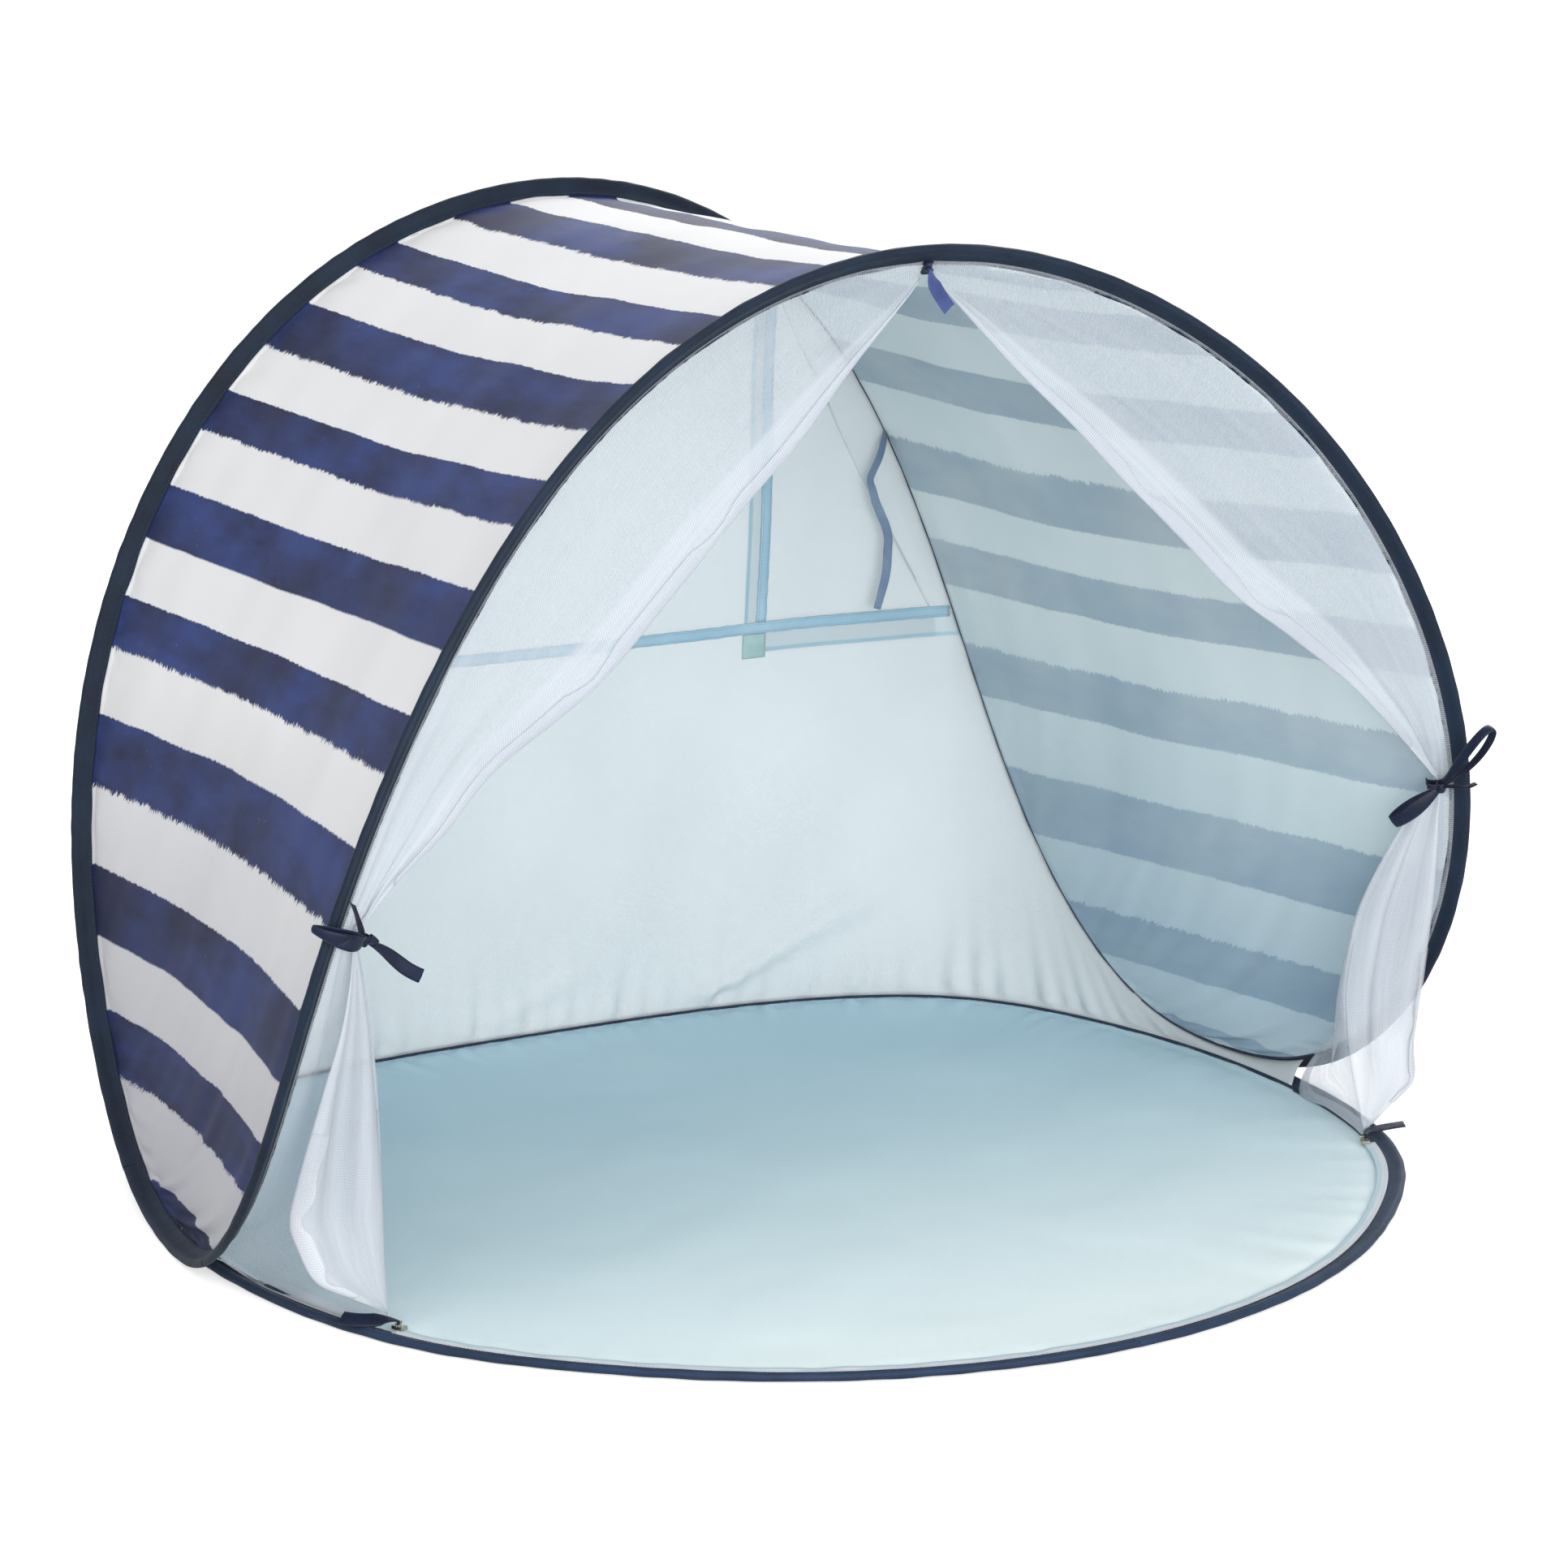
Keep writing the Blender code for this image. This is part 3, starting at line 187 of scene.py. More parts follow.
def unit(vectors):
    vectors = np.asarray(vectors, float)
    return vectors / np.maximum(np.linalg.norm(vectors, axis=-1, keepdims=True), 1e-12)


def round_spline(knots, steps):
    """Points on the closed cubic spline through the knots, spaced by the chords between them."""
    knots = np.asarray(knots, float)
    count = len(knots)
    span = np.linalg.norm(np.roll(knots, -1, axis=0) - knots, axis=1)
    slope = (np.roll(knots, -1, axis=0) - knots) / span[:, None]
    before = np.roll(span, 1)
    matrix = np.diag(2 * (before + span))
    for i in range(count):
        matrix[i, i - 1] += before[i]
        matrix[i, (i + 1) % count] += span[i]
    bend = np.linalg.solve(matrix, 6 * (slope - np.roll(slope, 1, axis=0)))
    rows = []
    for i in range(count):
        j = (i + 1) % count
        near = np.arange(steps)[:, None] / steps * span[i]
        far = span[i] - near
        rows.append(
            (bend[i] * far**3 + bend[j] * near**3) / (6 * span[i])
            + (knots[i] / span[i] - bend[i] * span[i] / 6) * far
            + (knots[j] / span[i] - bend[j] * span[i] / 6) * near
        )
    return np.concatenate(rows)


def evenly(points, count):
    """A line's points moved to equal steps along it."""
    points = np.asarray(points, float)
    length = np.concatenate([[0.0], np.cumsum(np.linalg.norm(np.diff(points, axis=0), axis=1))])
    wanted = np.linspace(0.0, length[-1], count + 1)
    return np.stack([np.interp(wanted, length, points[:, axis]) for axis in range(3)], axis=1)


class Ring:
    """A sprung hoop. A stop is a place along it: 0 in front, then the left, the back and the right.

    Corners are the knots where its four quarters start, and quarters the count of stops in each. At
    each stop it has its own direction, the way the sleeve's tail points, and the side of the tail.
    """

    finer = 24
    spline_steps = 48

    def __init__(self, knots, corners, quarters, inward):
        dense = round_spline(knots, self.spline_steps)
        bounds = [corner * self.spline_steps for corner in corners] + [len(dense)]
        dense = np.concatenate([dense, dense[:1]])
        parts = [
            evenly(dense[bounds[i] : bounds[i + 1] + 1], quarters[i] * self.finer)[:-1]
            for i in range(4)
        ]
        point = np.concatenate(parts)
        along = unit(np.roll(point, -1, axis=0) - np.roll(point, 1, axis=0))
        toward = inward(point)
        tail = unit(toward - (toward * along).sum(1)[:, None] * along)
        self.count = sum(quarters)
        self.table = np.stack([point, along, tail, np.cross(along, tail)])

    def at(self, stops):
        """Point, direction, tail and side at each stop."""
        place = np.asarray(stops, float) * self.finer
        low = np.floor(place).astype(int)
        part = (place - low)[..., None]
        size = self.table.shape[1]
        mixed = self.table[:, low % size] * (1 - part) + self.table[:, (low + 1) % size] * part
        return mixed[0], unit(mixed[1]), unit(mixed[2]), unit(mixed[3])

    def place(self, stops, tail, side=0.0):
        point, _, tail_way, side_way = self.at(stops)
        tail = np.asarray(tail, float)[..., None]
        side = np.asarray(side, float)[..., None]
        return point + tail_way * tail + side_way * side

    def step(self, stop):
        return float(np.linalg.norm(self.at(stop + 1)[0] - self.at(stop)[0]))


def whole_ring(half):
    return half + [(-x, y, z) for x, y, z in half[-2:0:-1]]


canopy_half = [
    (
        -across * CANOPY_HALF_WIDTH,
        TIP_LINE_Y + lean * (FRONT_LEAN if lean < 0 else BACK_LEAN),
        WIRE_HEIGHT + rise * CANOPY_RISE,
    )
    for across, lean, rise in CANOPY_RING
]
canopy_ring = Ring(whole_ring(canopy_half), [0, 7, 13, 19], [20] * 4, lambda p: HEART - p)

floor_half = [
    (
        -across * FLOOR_HALF_WIDTH,
        FLOOR_WIDEST_Y + depth * (FLOOR_FRONT_DEPTH if depth < 0 else FLOOR_BACK_DEPTH),
        WIRE_HEIGHT,
    )
    for across, depth in FLOOR_RING
]


def floor_inward(points):
    way = unit(np.array((0.0, FLOOR_WIDEST_Y, WIRE_HEIGHT)) - points)
    way[:, 2] = FLOOR_TAIL_DIP
    return way


floor_ring = Ring(whole_ring(floor_half), [0, 6, 10, 14], [16, 20, 20, 16], floor_inward)


def new_material(name):
    material = bpy.data.materials.new(name)
    material.use_nodes = True
    tree = material.node_tree
    return material, tree, tree.nodes["Principled BSDF"]


def noise(tree, coords, size, detail=3.0, roughness=0.55, stretch=(1, 1, 1)):
    """Cloudy variation from 0 to 1, its patches about that many metres across."""
    scaled = add(tree, "ShaderNodeMapping", {"Vector": coords, "Scale": [s / size for s in stretch]})
    inputs = {"Vector": scaled.outputs[0], "Scale": 1.0, "Detail": detail, "Roughness": roughness}
    return add(tree, "ShaderNodeTexNoise", inputs).outputs["Fac"]


def blend_colour(tree, share, low, high):
    inputs = {0: share, 6: low, 7: high}
    return add(tree, "ShaderNodeMix", inputs, data_type="RGBA").outputs[2]


def span(tree, value, low, high, start=0.0, end=1.0):
    """The value stretched so that low becomes start and high becomes end, and clamped there."""
    inputs = {0: value, 1: low, 2: high, 3: start, 4: end}
    return add(tree, "ShaderNodeMapRange", inputs).outputs[0]


def drawn_metal(name, code, rough, scratch):
    """Wire or tube drawn through a die: fine lines along it and faint dull patches."""
    material, tree, shader = new_material(name)
    place = add(tree, "ShaderNodeTexCoord").outputs["Object"]
    lines = noise(tree, place, 0.0012, 2.0)
    patches = noise(tree, place, 0.02, 3.0)
    base = colour(code)
    dull = [c * 0.72 for c in base[:3]] + [1.0]
    tree.links.new(blend_colour(tree, patches, dull, base), shader.inputs["Base Color"])
    shader.inputs["Metallic"].default_value = 1.0
    tree.links.new(span(tree, lines, 0.3, 0.7, rough - 0.07, rough + 0.1), shader.inputs["Roughness"])
    bump = add(tree, "ShaderNodeBump", {"Height": lines, "Distance": scratch, "Strength": 0.5})
    tree.links.new(bump.outputs[0], shader.inputs["Normal"])
    return material


spring_steel = drawn_metal("spring steel, cold drawn and oiled", "8C9094", 0.36, 0.00003)
crimped_aluminium = drawn_metal("aluminium tube, crimped", "B8BBBD", 0.32, 0.00004)


def dress(node, material):
    """A CAD node that already has its right shape takes a better material."""
    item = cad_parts[node]
    item.data.materials.clear()
    item.data.materials.append(material)


def clean_mesh(item, name):
    """The item's mesh with its modifiers applied, as a new object that sits at the origin."""
    scene.collection.objects.link(item)
    graph = bpy.context.evaluated_depsgraph_get()
    mesh = bpy.data.meshes.new_from_object(item.evaluated_get(graph))
    bpy.data.objects.remove(item, do_unlink=True)
    mesh.name = name
    mesh.shade_smooth()
    made = bpy.data.objects.new(name, mesh)
    scene.collection.objects.link(made)
    return made


def rod(name, points, radius, material):
    """Round stock along a line of points."""
    curve = bpy.data.curves.new(name, "CURVE")
    curve.dimensions = "3D"
    curve.bevel_depth = radius
    curve.bevel_resolution = 3
    curve.use_fill_caps = True
    line = curve.splines.new("POLY")
    line.points.add(len(points) - 1)
    for knot, point in zip(line.points, points):
        knot.co = (*point, 1.0)
    curve.materials.append(material)
    return clean_mesh(bpy.data.objects.new(name + "_line", curve), name)


for node in ("floor_wire", "front_arch_wire", "back_arch_wire"):
    dress(node, spring_steel)
for node in ("floor_wire_ferrule", "canopy_wire_ferrule"):
    dress(node, crimped_aluminium)

# When the front arch folds back, the turned wires between the arches bend from here to here
for side, first, last in (("left", 18, 22), ("right", 58, 62)):
    gap = 0.0006 / canopy_ring.step(first)
    stops = np.linspace(first + gap, last - gap, 61)
    wire = rod("turned_wire_" + side, canopy_ring.place(stops, 0.0), WIRE_RADIUS, spring_steel)
    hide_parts("tip_" + side + "_wire")
    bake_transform(wire)


# The sleeves. Navy polyester tape, about 41 mm wide, folded in half round the wire and run through
# the sewing machine with the cloth between its edges. The seam draws it into small puckers.

TAPE_CLOTH = 0.0005
# The tail's reach in from the wire; half the sleeve's thickness round the wire, beside it and at the
# tail's edge; and how far in from the wire its two halves come together
SLEEVE_TAIL = 0.0150
SLEEVE_BULB = 0.00345
SLEEVE_NECK = 0.0033
SLEEVE_EDGE = 0.0008
SLEEVE_CLOSES = 0.0095


def waves(x, y, size, seed, count=7):
    """Irregular smooth swell from about -1 to 1 over a surface; its waves are that long."""
    rng = np.random.default_rng(seed)
    total = 0.0
    for _ in range(count):
        turn = rng.uniform(0, 2 * math.pi)
        length = size * rng.uniform(0.65, 1.7)
        shift = rng.uniform(0, 2 * math.pi)
        way = x * math.cos(turn) + y * math.sin(turn)
        total = total + np.sin(2 * math.pi * way / length + shift)
    return total / math.sqrt(count)


def line_waves(x, size, seed, count=6):
    """Irregular smooth swell from about -1 to 1 along a line."""
    rng = np.random.default_rng(seed)
    total = 0.0
    for _ in range(count):
        length = size * rng.uniform(0.6, 1.8)
        total = total + np.sin(2 * math.pi * x / length + rng.uniform(0, 2 * math.pi))
    return total / math.sqrt(count)


def facing(grid, loop=False):
    """The way each point of a grid faces."""
    down = np.gradient(grid, axis=1)
    if loop:
        along = (np.roll(grid, -1, axis=0) - np.roll(grid, 1, axis=0)) / 2
    else:
        along = np.gradient(grid, axis=0)
    return unit(np.cross(along, down))


def lengths(grid, axis):
    """Distance of each point of a grid along one of its ways, from that way's first point."""
    steps = np.linalg.norm(np.diff(grid, axis=axis), axis=2)
    start = np.zeros_like(np.take(steps, [0], axis=axis))
    return np.concatenate([start, np.cumsum(steps, axis=axis)], axis=axis)


def cloth_shell(name, grid, thickness, materials, loop=False, along=None, across=None, extra=()):
    """Thin cloth over a grid of points: a front face, a back face and cut edges, in one closed skin.

    The attribute cloth holds each point's place on the cut cloth in metres, for the weave and print.
    """
    grid = np.asarray(grid, float)
    columns, rows = grid.shape[:2]
    normal = facing(grid, loop)
    front = grid + normal * thickness / 2
    back = grid - normal * thickness / 2
    points = np.concatenate([front.reshape(-1, 3), back.reshape(-1, 3)])
    size = columns * rows
    wide = columns if loop else columns - 1
    i, j = np.meshgrid(np.arange(wide), np.arange(rows - 1), indexing="ij")
    a = (i * rows + j).ravel()
    b = ((i + 1) % columns * rows + j).ravel()
    skin = np.stack([a, b, b + 1, a + 1], axis=1)
    rims = []
    rim_columns = np.arange(wide) * rows
    next_columns = (np.arange(wide) + 1) % columns * rows
    for row, turned in ((0, False), (rows - 1, True)):
        p, q = rim_columns + row, next_columns + row
        rim = np.stack([q, p, p + size, q + size], axis=1)
        rims.append(rim[:, ::-1] if turned else rim)
    if not loop:
        for column, turned in ((0, False), (columns - 1, True)):
            p = column * rows + np.arange(rows - 1)
            rim = np.stack([p, p + 1, p + 1 + size, p + size], axis=1)
            rims.append(rim[:, ::-1] if turned else rim)
    rims = np.concatenate(rims)
    faces = np.concatenate([skin, skin[:, ::-1] + size, rims])
    mesh = bpy.data.meshes.new(name)
    mesh.from_pydata(points.tolist(), [], faces.tolist())
    for material in materials:
        mesh.materials.append(material)
    if len(materials) > 1:
        index = np.zeros(len(faces), np.int32)
        index[len(skin) : 2 * len(skin)] = 1
        mesh.polygons.foreach_set("material_index", index)
    if along is None:
        along = lengths(grid, 0)
    if across is None:
        across = lengths(grid, 1)
    cut = np.stack([along.ravel(), across.ravel(), np.zeros(size)], axis=1)
    store = mesh.attributes.new("cloth", "FLOAT_VECTOR", "POINT")
    store.data.foreach_set("vector", np.concatenate([cut, cut]).astype(np.float32).ravel())
    for label, values in dict(extra).items():
        store = mesh.attributes.new(label, "FLOAT", "POINT")
        store.data.foreach_set("value", np.tile(values.ravel(), 2).astype(np.float32))
    mesh.shade_smooth()
    item = bpy.data.objects.new(name, mesh)
    scene.collection.objects.link(item)
    return item


def weave(tree, coords, yarn):
    """Height of a plain weave with yarns that far apart, in metres."""
    turned = add(tree, "ShaderNodeVectorMath", {0: coords, 1: [math.pi / yarn] * 3}, operation="MULTIPLY")
    parts = add(tree, "ShaderNodeSeparateXYZ", {0: turned.outputs[0]}).outputs
    over = add(tree, "ShaderNodeMath", {0: parts[0]}, operation="SINE").outputs[0]
    under = add(tree, "ShaderNodeMath", {0: parts[1]}, operation="SINE").outputs[0]
    return add(tree, "ShaderNodeMath", {0: over, 1: under}, operation="MULTIPLY").outputs[0]


def on_cloth(tree):
    return add(tree, "ShaderNodeAttribute", attribute_name="cloth").outputs["Vector"]


def finish_cloth(tree, shader, height, distance, sheen, rough, glow=None):
    """Relief, sheen and roughness of a woven cloth, and the light that comes through it."""
    bump = add(tree, "ShaderNodeBump", {"Height": height, "Distance": distance, "Strength": 0.6})
    tree.links.new(bump.outputs[0], shader.inputs["Normal"])
    shader.inputs["Roughness"].default_value = rough
    shader.inputs["Sheen Weight"].default_value = sheen
    shader.inputs["Sheen Roughness"].default_value = 0.4
    shader.inputs["Specular IOR Level"].default_value = 0.35
    if glow is None:
        return
    share, tint = glow
    through = add(tree, "ShaderNodeBsdfTranslucent", {"Color": tint, "Normal": bump.outputs[0]})
    mixed = add(tree, "ShaderNodeMixShader", {0: share, 1: shader.outputs[0], 2: through.outputs[0]})
    tree.links.new(mixed.outputs[0], tree.nodes["Material Output"].inputs["Surface"])


def navy_tape(name, dark, light, rough, sheen):
    """Ribbed polyester tape: close ribs across it, small paler worn flecks, uneven dye."""
    material, tree, shader = new_material(name)
    cut = on_cloth(tree)
    ribs = weave(tree, cut, 0.0011)
    dye = noise(tree, cut, 0.05, 4.0)
    lint = noise(tree, cut, 0.0025, 2.0)
    base = blend_colour(tree, span(tree, dye, 0.3, 0.7), colour(dark), colour(light))
    worn = blend_colour(tree, span(tree, lint, 0.62, 0.8, 0.0, 0.15), base, colour("4A6080"))
    tree.links.new(worn, shader.inputs["Base Color"])
    creases = noise(tree, cut, 0.016, 3.0, 0.55, stretch=(1, 0.35, 1))
    height = add(tree, "ShaderNodeMath", {0: creases, 1: 9.0, 2: ribs}, operation="MULTIPLY_ADD").outputs[0]
    finish_cloth(tree, shader, height, 0.00014, sheen, rough)
    shader.inputs["Specular IOR Level"].default_value = 0.22
    return material


arch_tape = navy_tape("polyester tape, navy", "0C1726", "132336", 0.6, 0.03)
# Painted light: the floor's sleeve is the same navy tape as the arches', coloured paler and with more sheen
# for the light that falls on it in front
floor_tape_painted_light = navy_tape("polyester tape, navy, at the floor", "172539", "243650", 0.6, 0.06)

# The fold goes out to the wire, round it and back: places across it as tail and side
fold_angles = np.linspace(math.radians(78), math.radians(282), 15)
fold_arc = [(SLEEVE_BULB * math.cos(a), SLEEVE_BULB * math.sin(a)) for a in fold_angles]
fold_tail = []
for n in (SLEEVE_TAIL, 0.0138, 0.0126, 0.0114, 0.0100, 0.0085, 0.0070, 0.0055, 0.0040, 0.0025):
    parted = 0.5 + 0.5 * math.cos(math.pi * min(1.0, n / SLEEVE_CLOSES))
    fold_tail.append((n, SLEEVE_EDGE + (SLEEVE_NECK - SLEEVE_EDGE) * parted))
FOLD = np.array(fold_tail + fold_arc + [(n, -b) for n, b in fold_tail[::-1]])


def sleeve(name, node, ring, first, last, material, seed):
    """The folded tape between two stops of a ring, or all the way round it."""
    loop = first is None
    if loop:
        stops = np.arange(0, ring.count, 0.06)
    else:
        gap = 0.00015 / ring.step(first)
        stops = np.linspace(first + gap, last - gap, int((last - first) * 20) + 1)
    run = stops * ring.step(5)
    near = np.clip((FOLD[:, 0] - 0.004) / 0.011, 0, 1)
    closeness = near[None, :] ** 1.5
    pucker = line_waves(run, 0.011, seed) * 0.00022 + line_waves(run, 0.034, seed + 1) * 0.00018
    side = np.sign(FOLD[:, 1])[None, :]
    tail = FOLD[None, :, 0] + closeness * line_waves(run, 0.05, seed + 2)[:, None] * 0.0003
    depth = FOLD[None, :, 1] + side * closeness * np.abs(pucker)[:, None]
    depth = depth + closeness * line_waves(run, 0.06, seed + 3)[:, None] * 0.00025
    body = 1 + (1 - closeness) * waves(run[:, None], FOLD[None, :, 1] * 8, 0.03, seed + 4) * 0.05
    grid = ring.place(stops[:, None] + 0 * tail, tail * body, depth * body)
    across = np.concatenate([[0.0], np.cumsum(np.linalg.norm(np.diff(FOLD, axis=0), axis=1))])
    along = run[:, None] + 0 * tail
    item = cloth_shell(name, grid, TAPE_CLOTH, [material], loop, along, across[None, :] + 0 * tail)
    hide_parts(node)
    return item


def ride_or_bend(item, body):
    """The item moves with a body, or with no body given, its place is baked into its mesh; these are the
    pieces between the two arches.
    """
    if body is None:
        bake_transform(item)
    else:
        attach(item, body)


for name, node, ring, first, last, seed, wire, length, body in (
    ("floor_binding", "floor_sleeve", floor_ring, None, None, 11, "floor_wire", 3.27, "tent"),
    ("front_binding", "front_arch_sleeve", canopy_ring, -18, 18, 21, "front_arch_wire", 2.34, "front_arch"),
    ("back_binding", "back_arch_sleeve", canopy_ring, 22, 58, 31, "back_arch_wire", 2.29, "tent"),
    ("tip_binding_left", "tip_left_sleeve", canopy_ring, 18, 22, 41, "turned_wire_left", 0.257, None),
    ("tip_binding_right", "tip_right_sleeve", canopy_ring, 58, 62, 51, "turned_wire_right", 0.257, None),
):
    material = floor_tape_painted_light if ring is floor_ring else arch_tape
    item = sleeve(name, node, ring, first, last, material, seed)
    ride_or_bend(item, body)


# The sewing. Lockstitch in navy thread, a stitch every 3.4 mm, 2 mm in from the sleeve's edge on both
# faces. Each stitch is a short bead of thread laid along the seam.

STITCH_PITCH = 0.0034
STITCH_LENGTH = 0.0027
STITCH_UNEVENNESS = 0.00012
THREAD_WIDTH = 0.0006
FINE_THREAD_WIDTH = 0.0005


def thread_tree():
    """The tree that lays beads of thread along a seam, and the identifier of each of its inputs."""
    tree = bpy.data.node_groups.new("lockstitch", "GeometryNodeTree")
    made = {}
    for label, kind in (
        ("Seam", "NodeSocketGeometry"),
        ("Stitch pitch", "NodeSocketFloat"),
        ("Stitch length", "NodeSocketFloat"),
        ("Thread width", "NodeSocketFloat"),
        ("Unevenness", "NodeSocketFloat"),
        ("Seed", "NodeSocketInt"),
        ("Thread", "NodeSocketMaterial"),
    ):
        made[label] = tree.interface.new_socket(label, in_out="INPUT", socket_type=kind).identifier
    tree.interface.new_socket("Stitches", in_out="OUTPUT", socket_type="NodeSocketGeometry")
    given = add(tree, "NodeGroupInput").outputs
    line = add(tree, "GeometryNodeMeshToCurve", {"Mesh": given["Seam"]}).outputs[0]
    inputs = {"Curve": line, "Length": given["Stitch pitch"]}
    spaced = add(tree, "GeometryNodeCurveToPoints", inputs, mode="LENGTH").outputs
    inputs = {"Seed": given["Seed"]}
    for end, way in enumerate(((-1, -1, -1), (1, 1, 1))):
        reach = {0: way, "Scale": given["Unevenness"]}
        inputs[end] = add(tree, "ShaderNodeVectorMath", reach, operation="SCALE").outputs[0]
    shift = add(tree, "FunctionNodeRandomValue", inputs, data_type="FLOAT_VECTOR").outputs[0]
    moved = add(tree, "GeometryNodeSetPosition", {"Geometry": spaced["Points"], "Offset": shift}).outputs[0]
    bead = add(tree, "GeometryNodeMeshUVSphere", {"Segments": 6, "Rings": 4, "Radius": 0.5}).outputs["Mesh"]
    inputs = {0: given["Thread width"], 1: given["Thread width"], 2: given["Stitch length"]}
    size = add(tree, "ShaderNodeCombineXYZ", inputs).outputs[0]
    inputs = {"Points": moved, "Instance": bead, "Rotation": spaced["Rotation"], "Scale": size}
    laid = add(tree, "GeometryNodeInstanceOnPoints", inputs).outputs[0]
    real = add(tree, "GeometryNodeRealizeInstances", {0: laid}).outputs[0]
    dyed = add(tree, "GeometryNodeSetMaterial", {"Geometry": real, "Material": given["Thread"]}).outputs[0]
    add(tree, "NodeGroupOutput", {0: dyed})
    return tree, made


LOCKSTITCH, LOCKSTITCH_INPUTS = thread_tree()


def sew(name, seams, thread, width=THREAD_WIDTH):
    """Stitches along seams, each a line of points, as one plain mesh."""
    points = np.concatenate(seams)
    edges = []
    start = 0
    for seam in seams:
        edges += [(start + i, start + i + 1) for i in range(len(seam) - 1)]
        start += len(seam)
    mesh = bpy.data.meshes.new(name + "_seam")
    mesh.from_pydata(points.tolist(), edges, [])
    item = bpy.data.objects.new(name + "_seam", mesh)
    modifier = item.modifiers.new("Lockstitch", "NODES")
    modifier.node_group = LOCKSTITCH
    for label, value in (
        ("Stitch pitch", STITCH_PITCH),
        ("Stitch length", STITCH_LENGTH),
        ("Thread width", width),
        ("Unevenness", STITCH_UNEVENNESS),
        ("Seed", 1),
        ("Thread", thread),
    ):
        modifier[LOCKSTITCH_INPUTS[label]] = value
    return clean_mesh(item, name)


def twisted_thread(name, code, pale):
    """Spun polyester thread: two plies twisted together, slightly shiny."""
    material, tree, shader = new_material(name)
    place = add(tree, "ShaderNodeTexCoord").outputs["Object"]
    plies = noise(tree, place, 0.0011, 2.0)
    tree.links.new(blend_colour(tree, plies, colour(code), colour(pale)), shader.inputs["Base Color"])
    shader.inputs["Roughness"].default_value = 0.5
    bump = add(tree, "ShaderNodeBump", {"Height": plies, "Distance": 0.0001, "Strength": 0.5})
    tree.links.new(bump.outputs[0], shader.inputs["Normal"])
    return material


navy_thread = twisted_thread("spun thread, navy", "10182A", "2C3C58")

# Rows of stitches on the sleeves, as places on the tail and to its side; the floor has one row more
SEAM_ROWS = ((0.0130, 0.00125), (0.0130, -0.00125))
FLOOR_ROWS = (*SEAM_ROWS, (0.0105, -0.0014))


def seam_stops(first, last):
    return np.linspace(first, last, int((last - first) * 12) + 1)


for name, ring, first, last, body, rows in (
    ("floor_stitching", floor_ring, 0, 72, "tent", FLOOR_ROWS),
    ("front_stitching", canopy_ring, -17.9, 17.9, "front_arch", SEAM_ROWS),
    ("back_stitching", canopy_ring, 22.1, 57.9, "tent", SEAM_ROWS),
    ("tip_stitching_left", canopy_ring, 18.1, 21.9, None, SEAM_ROWS),
    ("tip_stitching_right", canopy_ring, 58.1, 61.9, None, SEAM_ROWS),
):
    stops = seam_stops(first, last)
    stitching = sew(name, [ring.place(stops, tail, side) for tail, side in rows], navy_thread)
    ride_or_bend(stitching, body)

# The cut edge of the back arch's tape, overcast with navy thread, which shows as a dark line inside
for name, first, last, body in (
    ("back", 22.1, 57.9, "tent"),
    ("tip_left", 18.1, 21.9, None),
    ("tip_right", 58.1, 61.9, None),
):
    stops = seam_stops(first, last)
    edge = canopy_ring.place(stops, 0.0159, 0.0010 + 0.0002 * line_waves(stops * 0.065, 0.05, 57))
    overcast = rod(name + "_overcast_edge", edge, 0.0009, navy_thread)
    ride_or_bend(overcast, body)


# The canopy. One sheet of light polyester taffeta, white outside with navy stripes printed from brush
# strokes, and coated pale blue inside. The hoop pulls it into a saddle between its arches, so it sags
# along its middle and puckers beside both seams.

CLOTH = 0.0005
SLEEVE_MOUTH = 0.017
CANOPY_SAG = 0.030

# Navy stripes, as the distance of their two edges from the left tip in hundredths of the arch
STRIPES = (
    (8.8, 11.5),
    (14.2, 16.9),
    (19.8, 22.4),
    (24.8, 26.7),
    (28.9, 31.0),
    (33.3, 35.0),
    (37.1, 39.3),
    (41.5, 43.3),
    (45.6, 47.9),
    (50.3, 52.4),
    (54.7, 56.6),
    (58.5, 61.3),
    (64.4, 66.6),
    (69.3, 71.8),
    (74.0, 76.0),
    (78.5, 80.8),
    (83.8, 86.7),
    (89.8, 92.5),
    (96.2, 98.2),
)


def canopy_surface(stops, parts):
    """Places on the canopy: stops from the left tip over the ridge to the right, parts from the front."""
    ahead = canopy_ring.place(20 - stops, SLEEVE_MOUTH)[:, None]
    behind = canopy_ring.place(20 + stops, SLEEVE_MOUTH)[:, None]
    part = parts[None, :, None]
    point = ahead * (1 - part) + behind * part
    width = np.linalg.norm(behind - ahead, axis=2, keepdims=True)
    slack = 1 - 0.85 * np.exp(-(((stops - 21) / 4.5) ** 2))[:, None, None]
    return point + unit(HEART - point) * 4 * part * (1 - part) * CANOPY_SAG * width * slack


stops = np.linspace(0.04, 39.96, 460)
parts = np.linspace(0.0, 1.0, 100)
parts = parts - np.sin(2 * np.pi * parts) * 0.05
inner = canopy_surface(stops, parts)
hems_front = np.stack([canopy_ring.place(20 - stops, n) for n in (0.0105, 0.0135)], axis=1)
hems_back = np.stack([canopy_ring.place(20 + stops, n) for n in (0.0135, 0.0105)], axis=1)
grid = np.concatenate([hems_front, inner, hems_back], axis=1)
across = lengths(grid, 1)
run = np.broadcast_to((stops * canopy_ring.step(5))[:, None], across.shape)
width = across[:, -1:]
from_seam = np.minimum(across, width - across) - 0.006
free = np.clip(from_seam / 0.012, 0, 1)
room = np.clip(width / 0.35, 0, 1)


def seam_puckers(length, seed, fades_over, depth):
    return line_waves(run, length, seed) * np.exp(-np.clip(from_seam, 0, 1) / fades_over) * depth


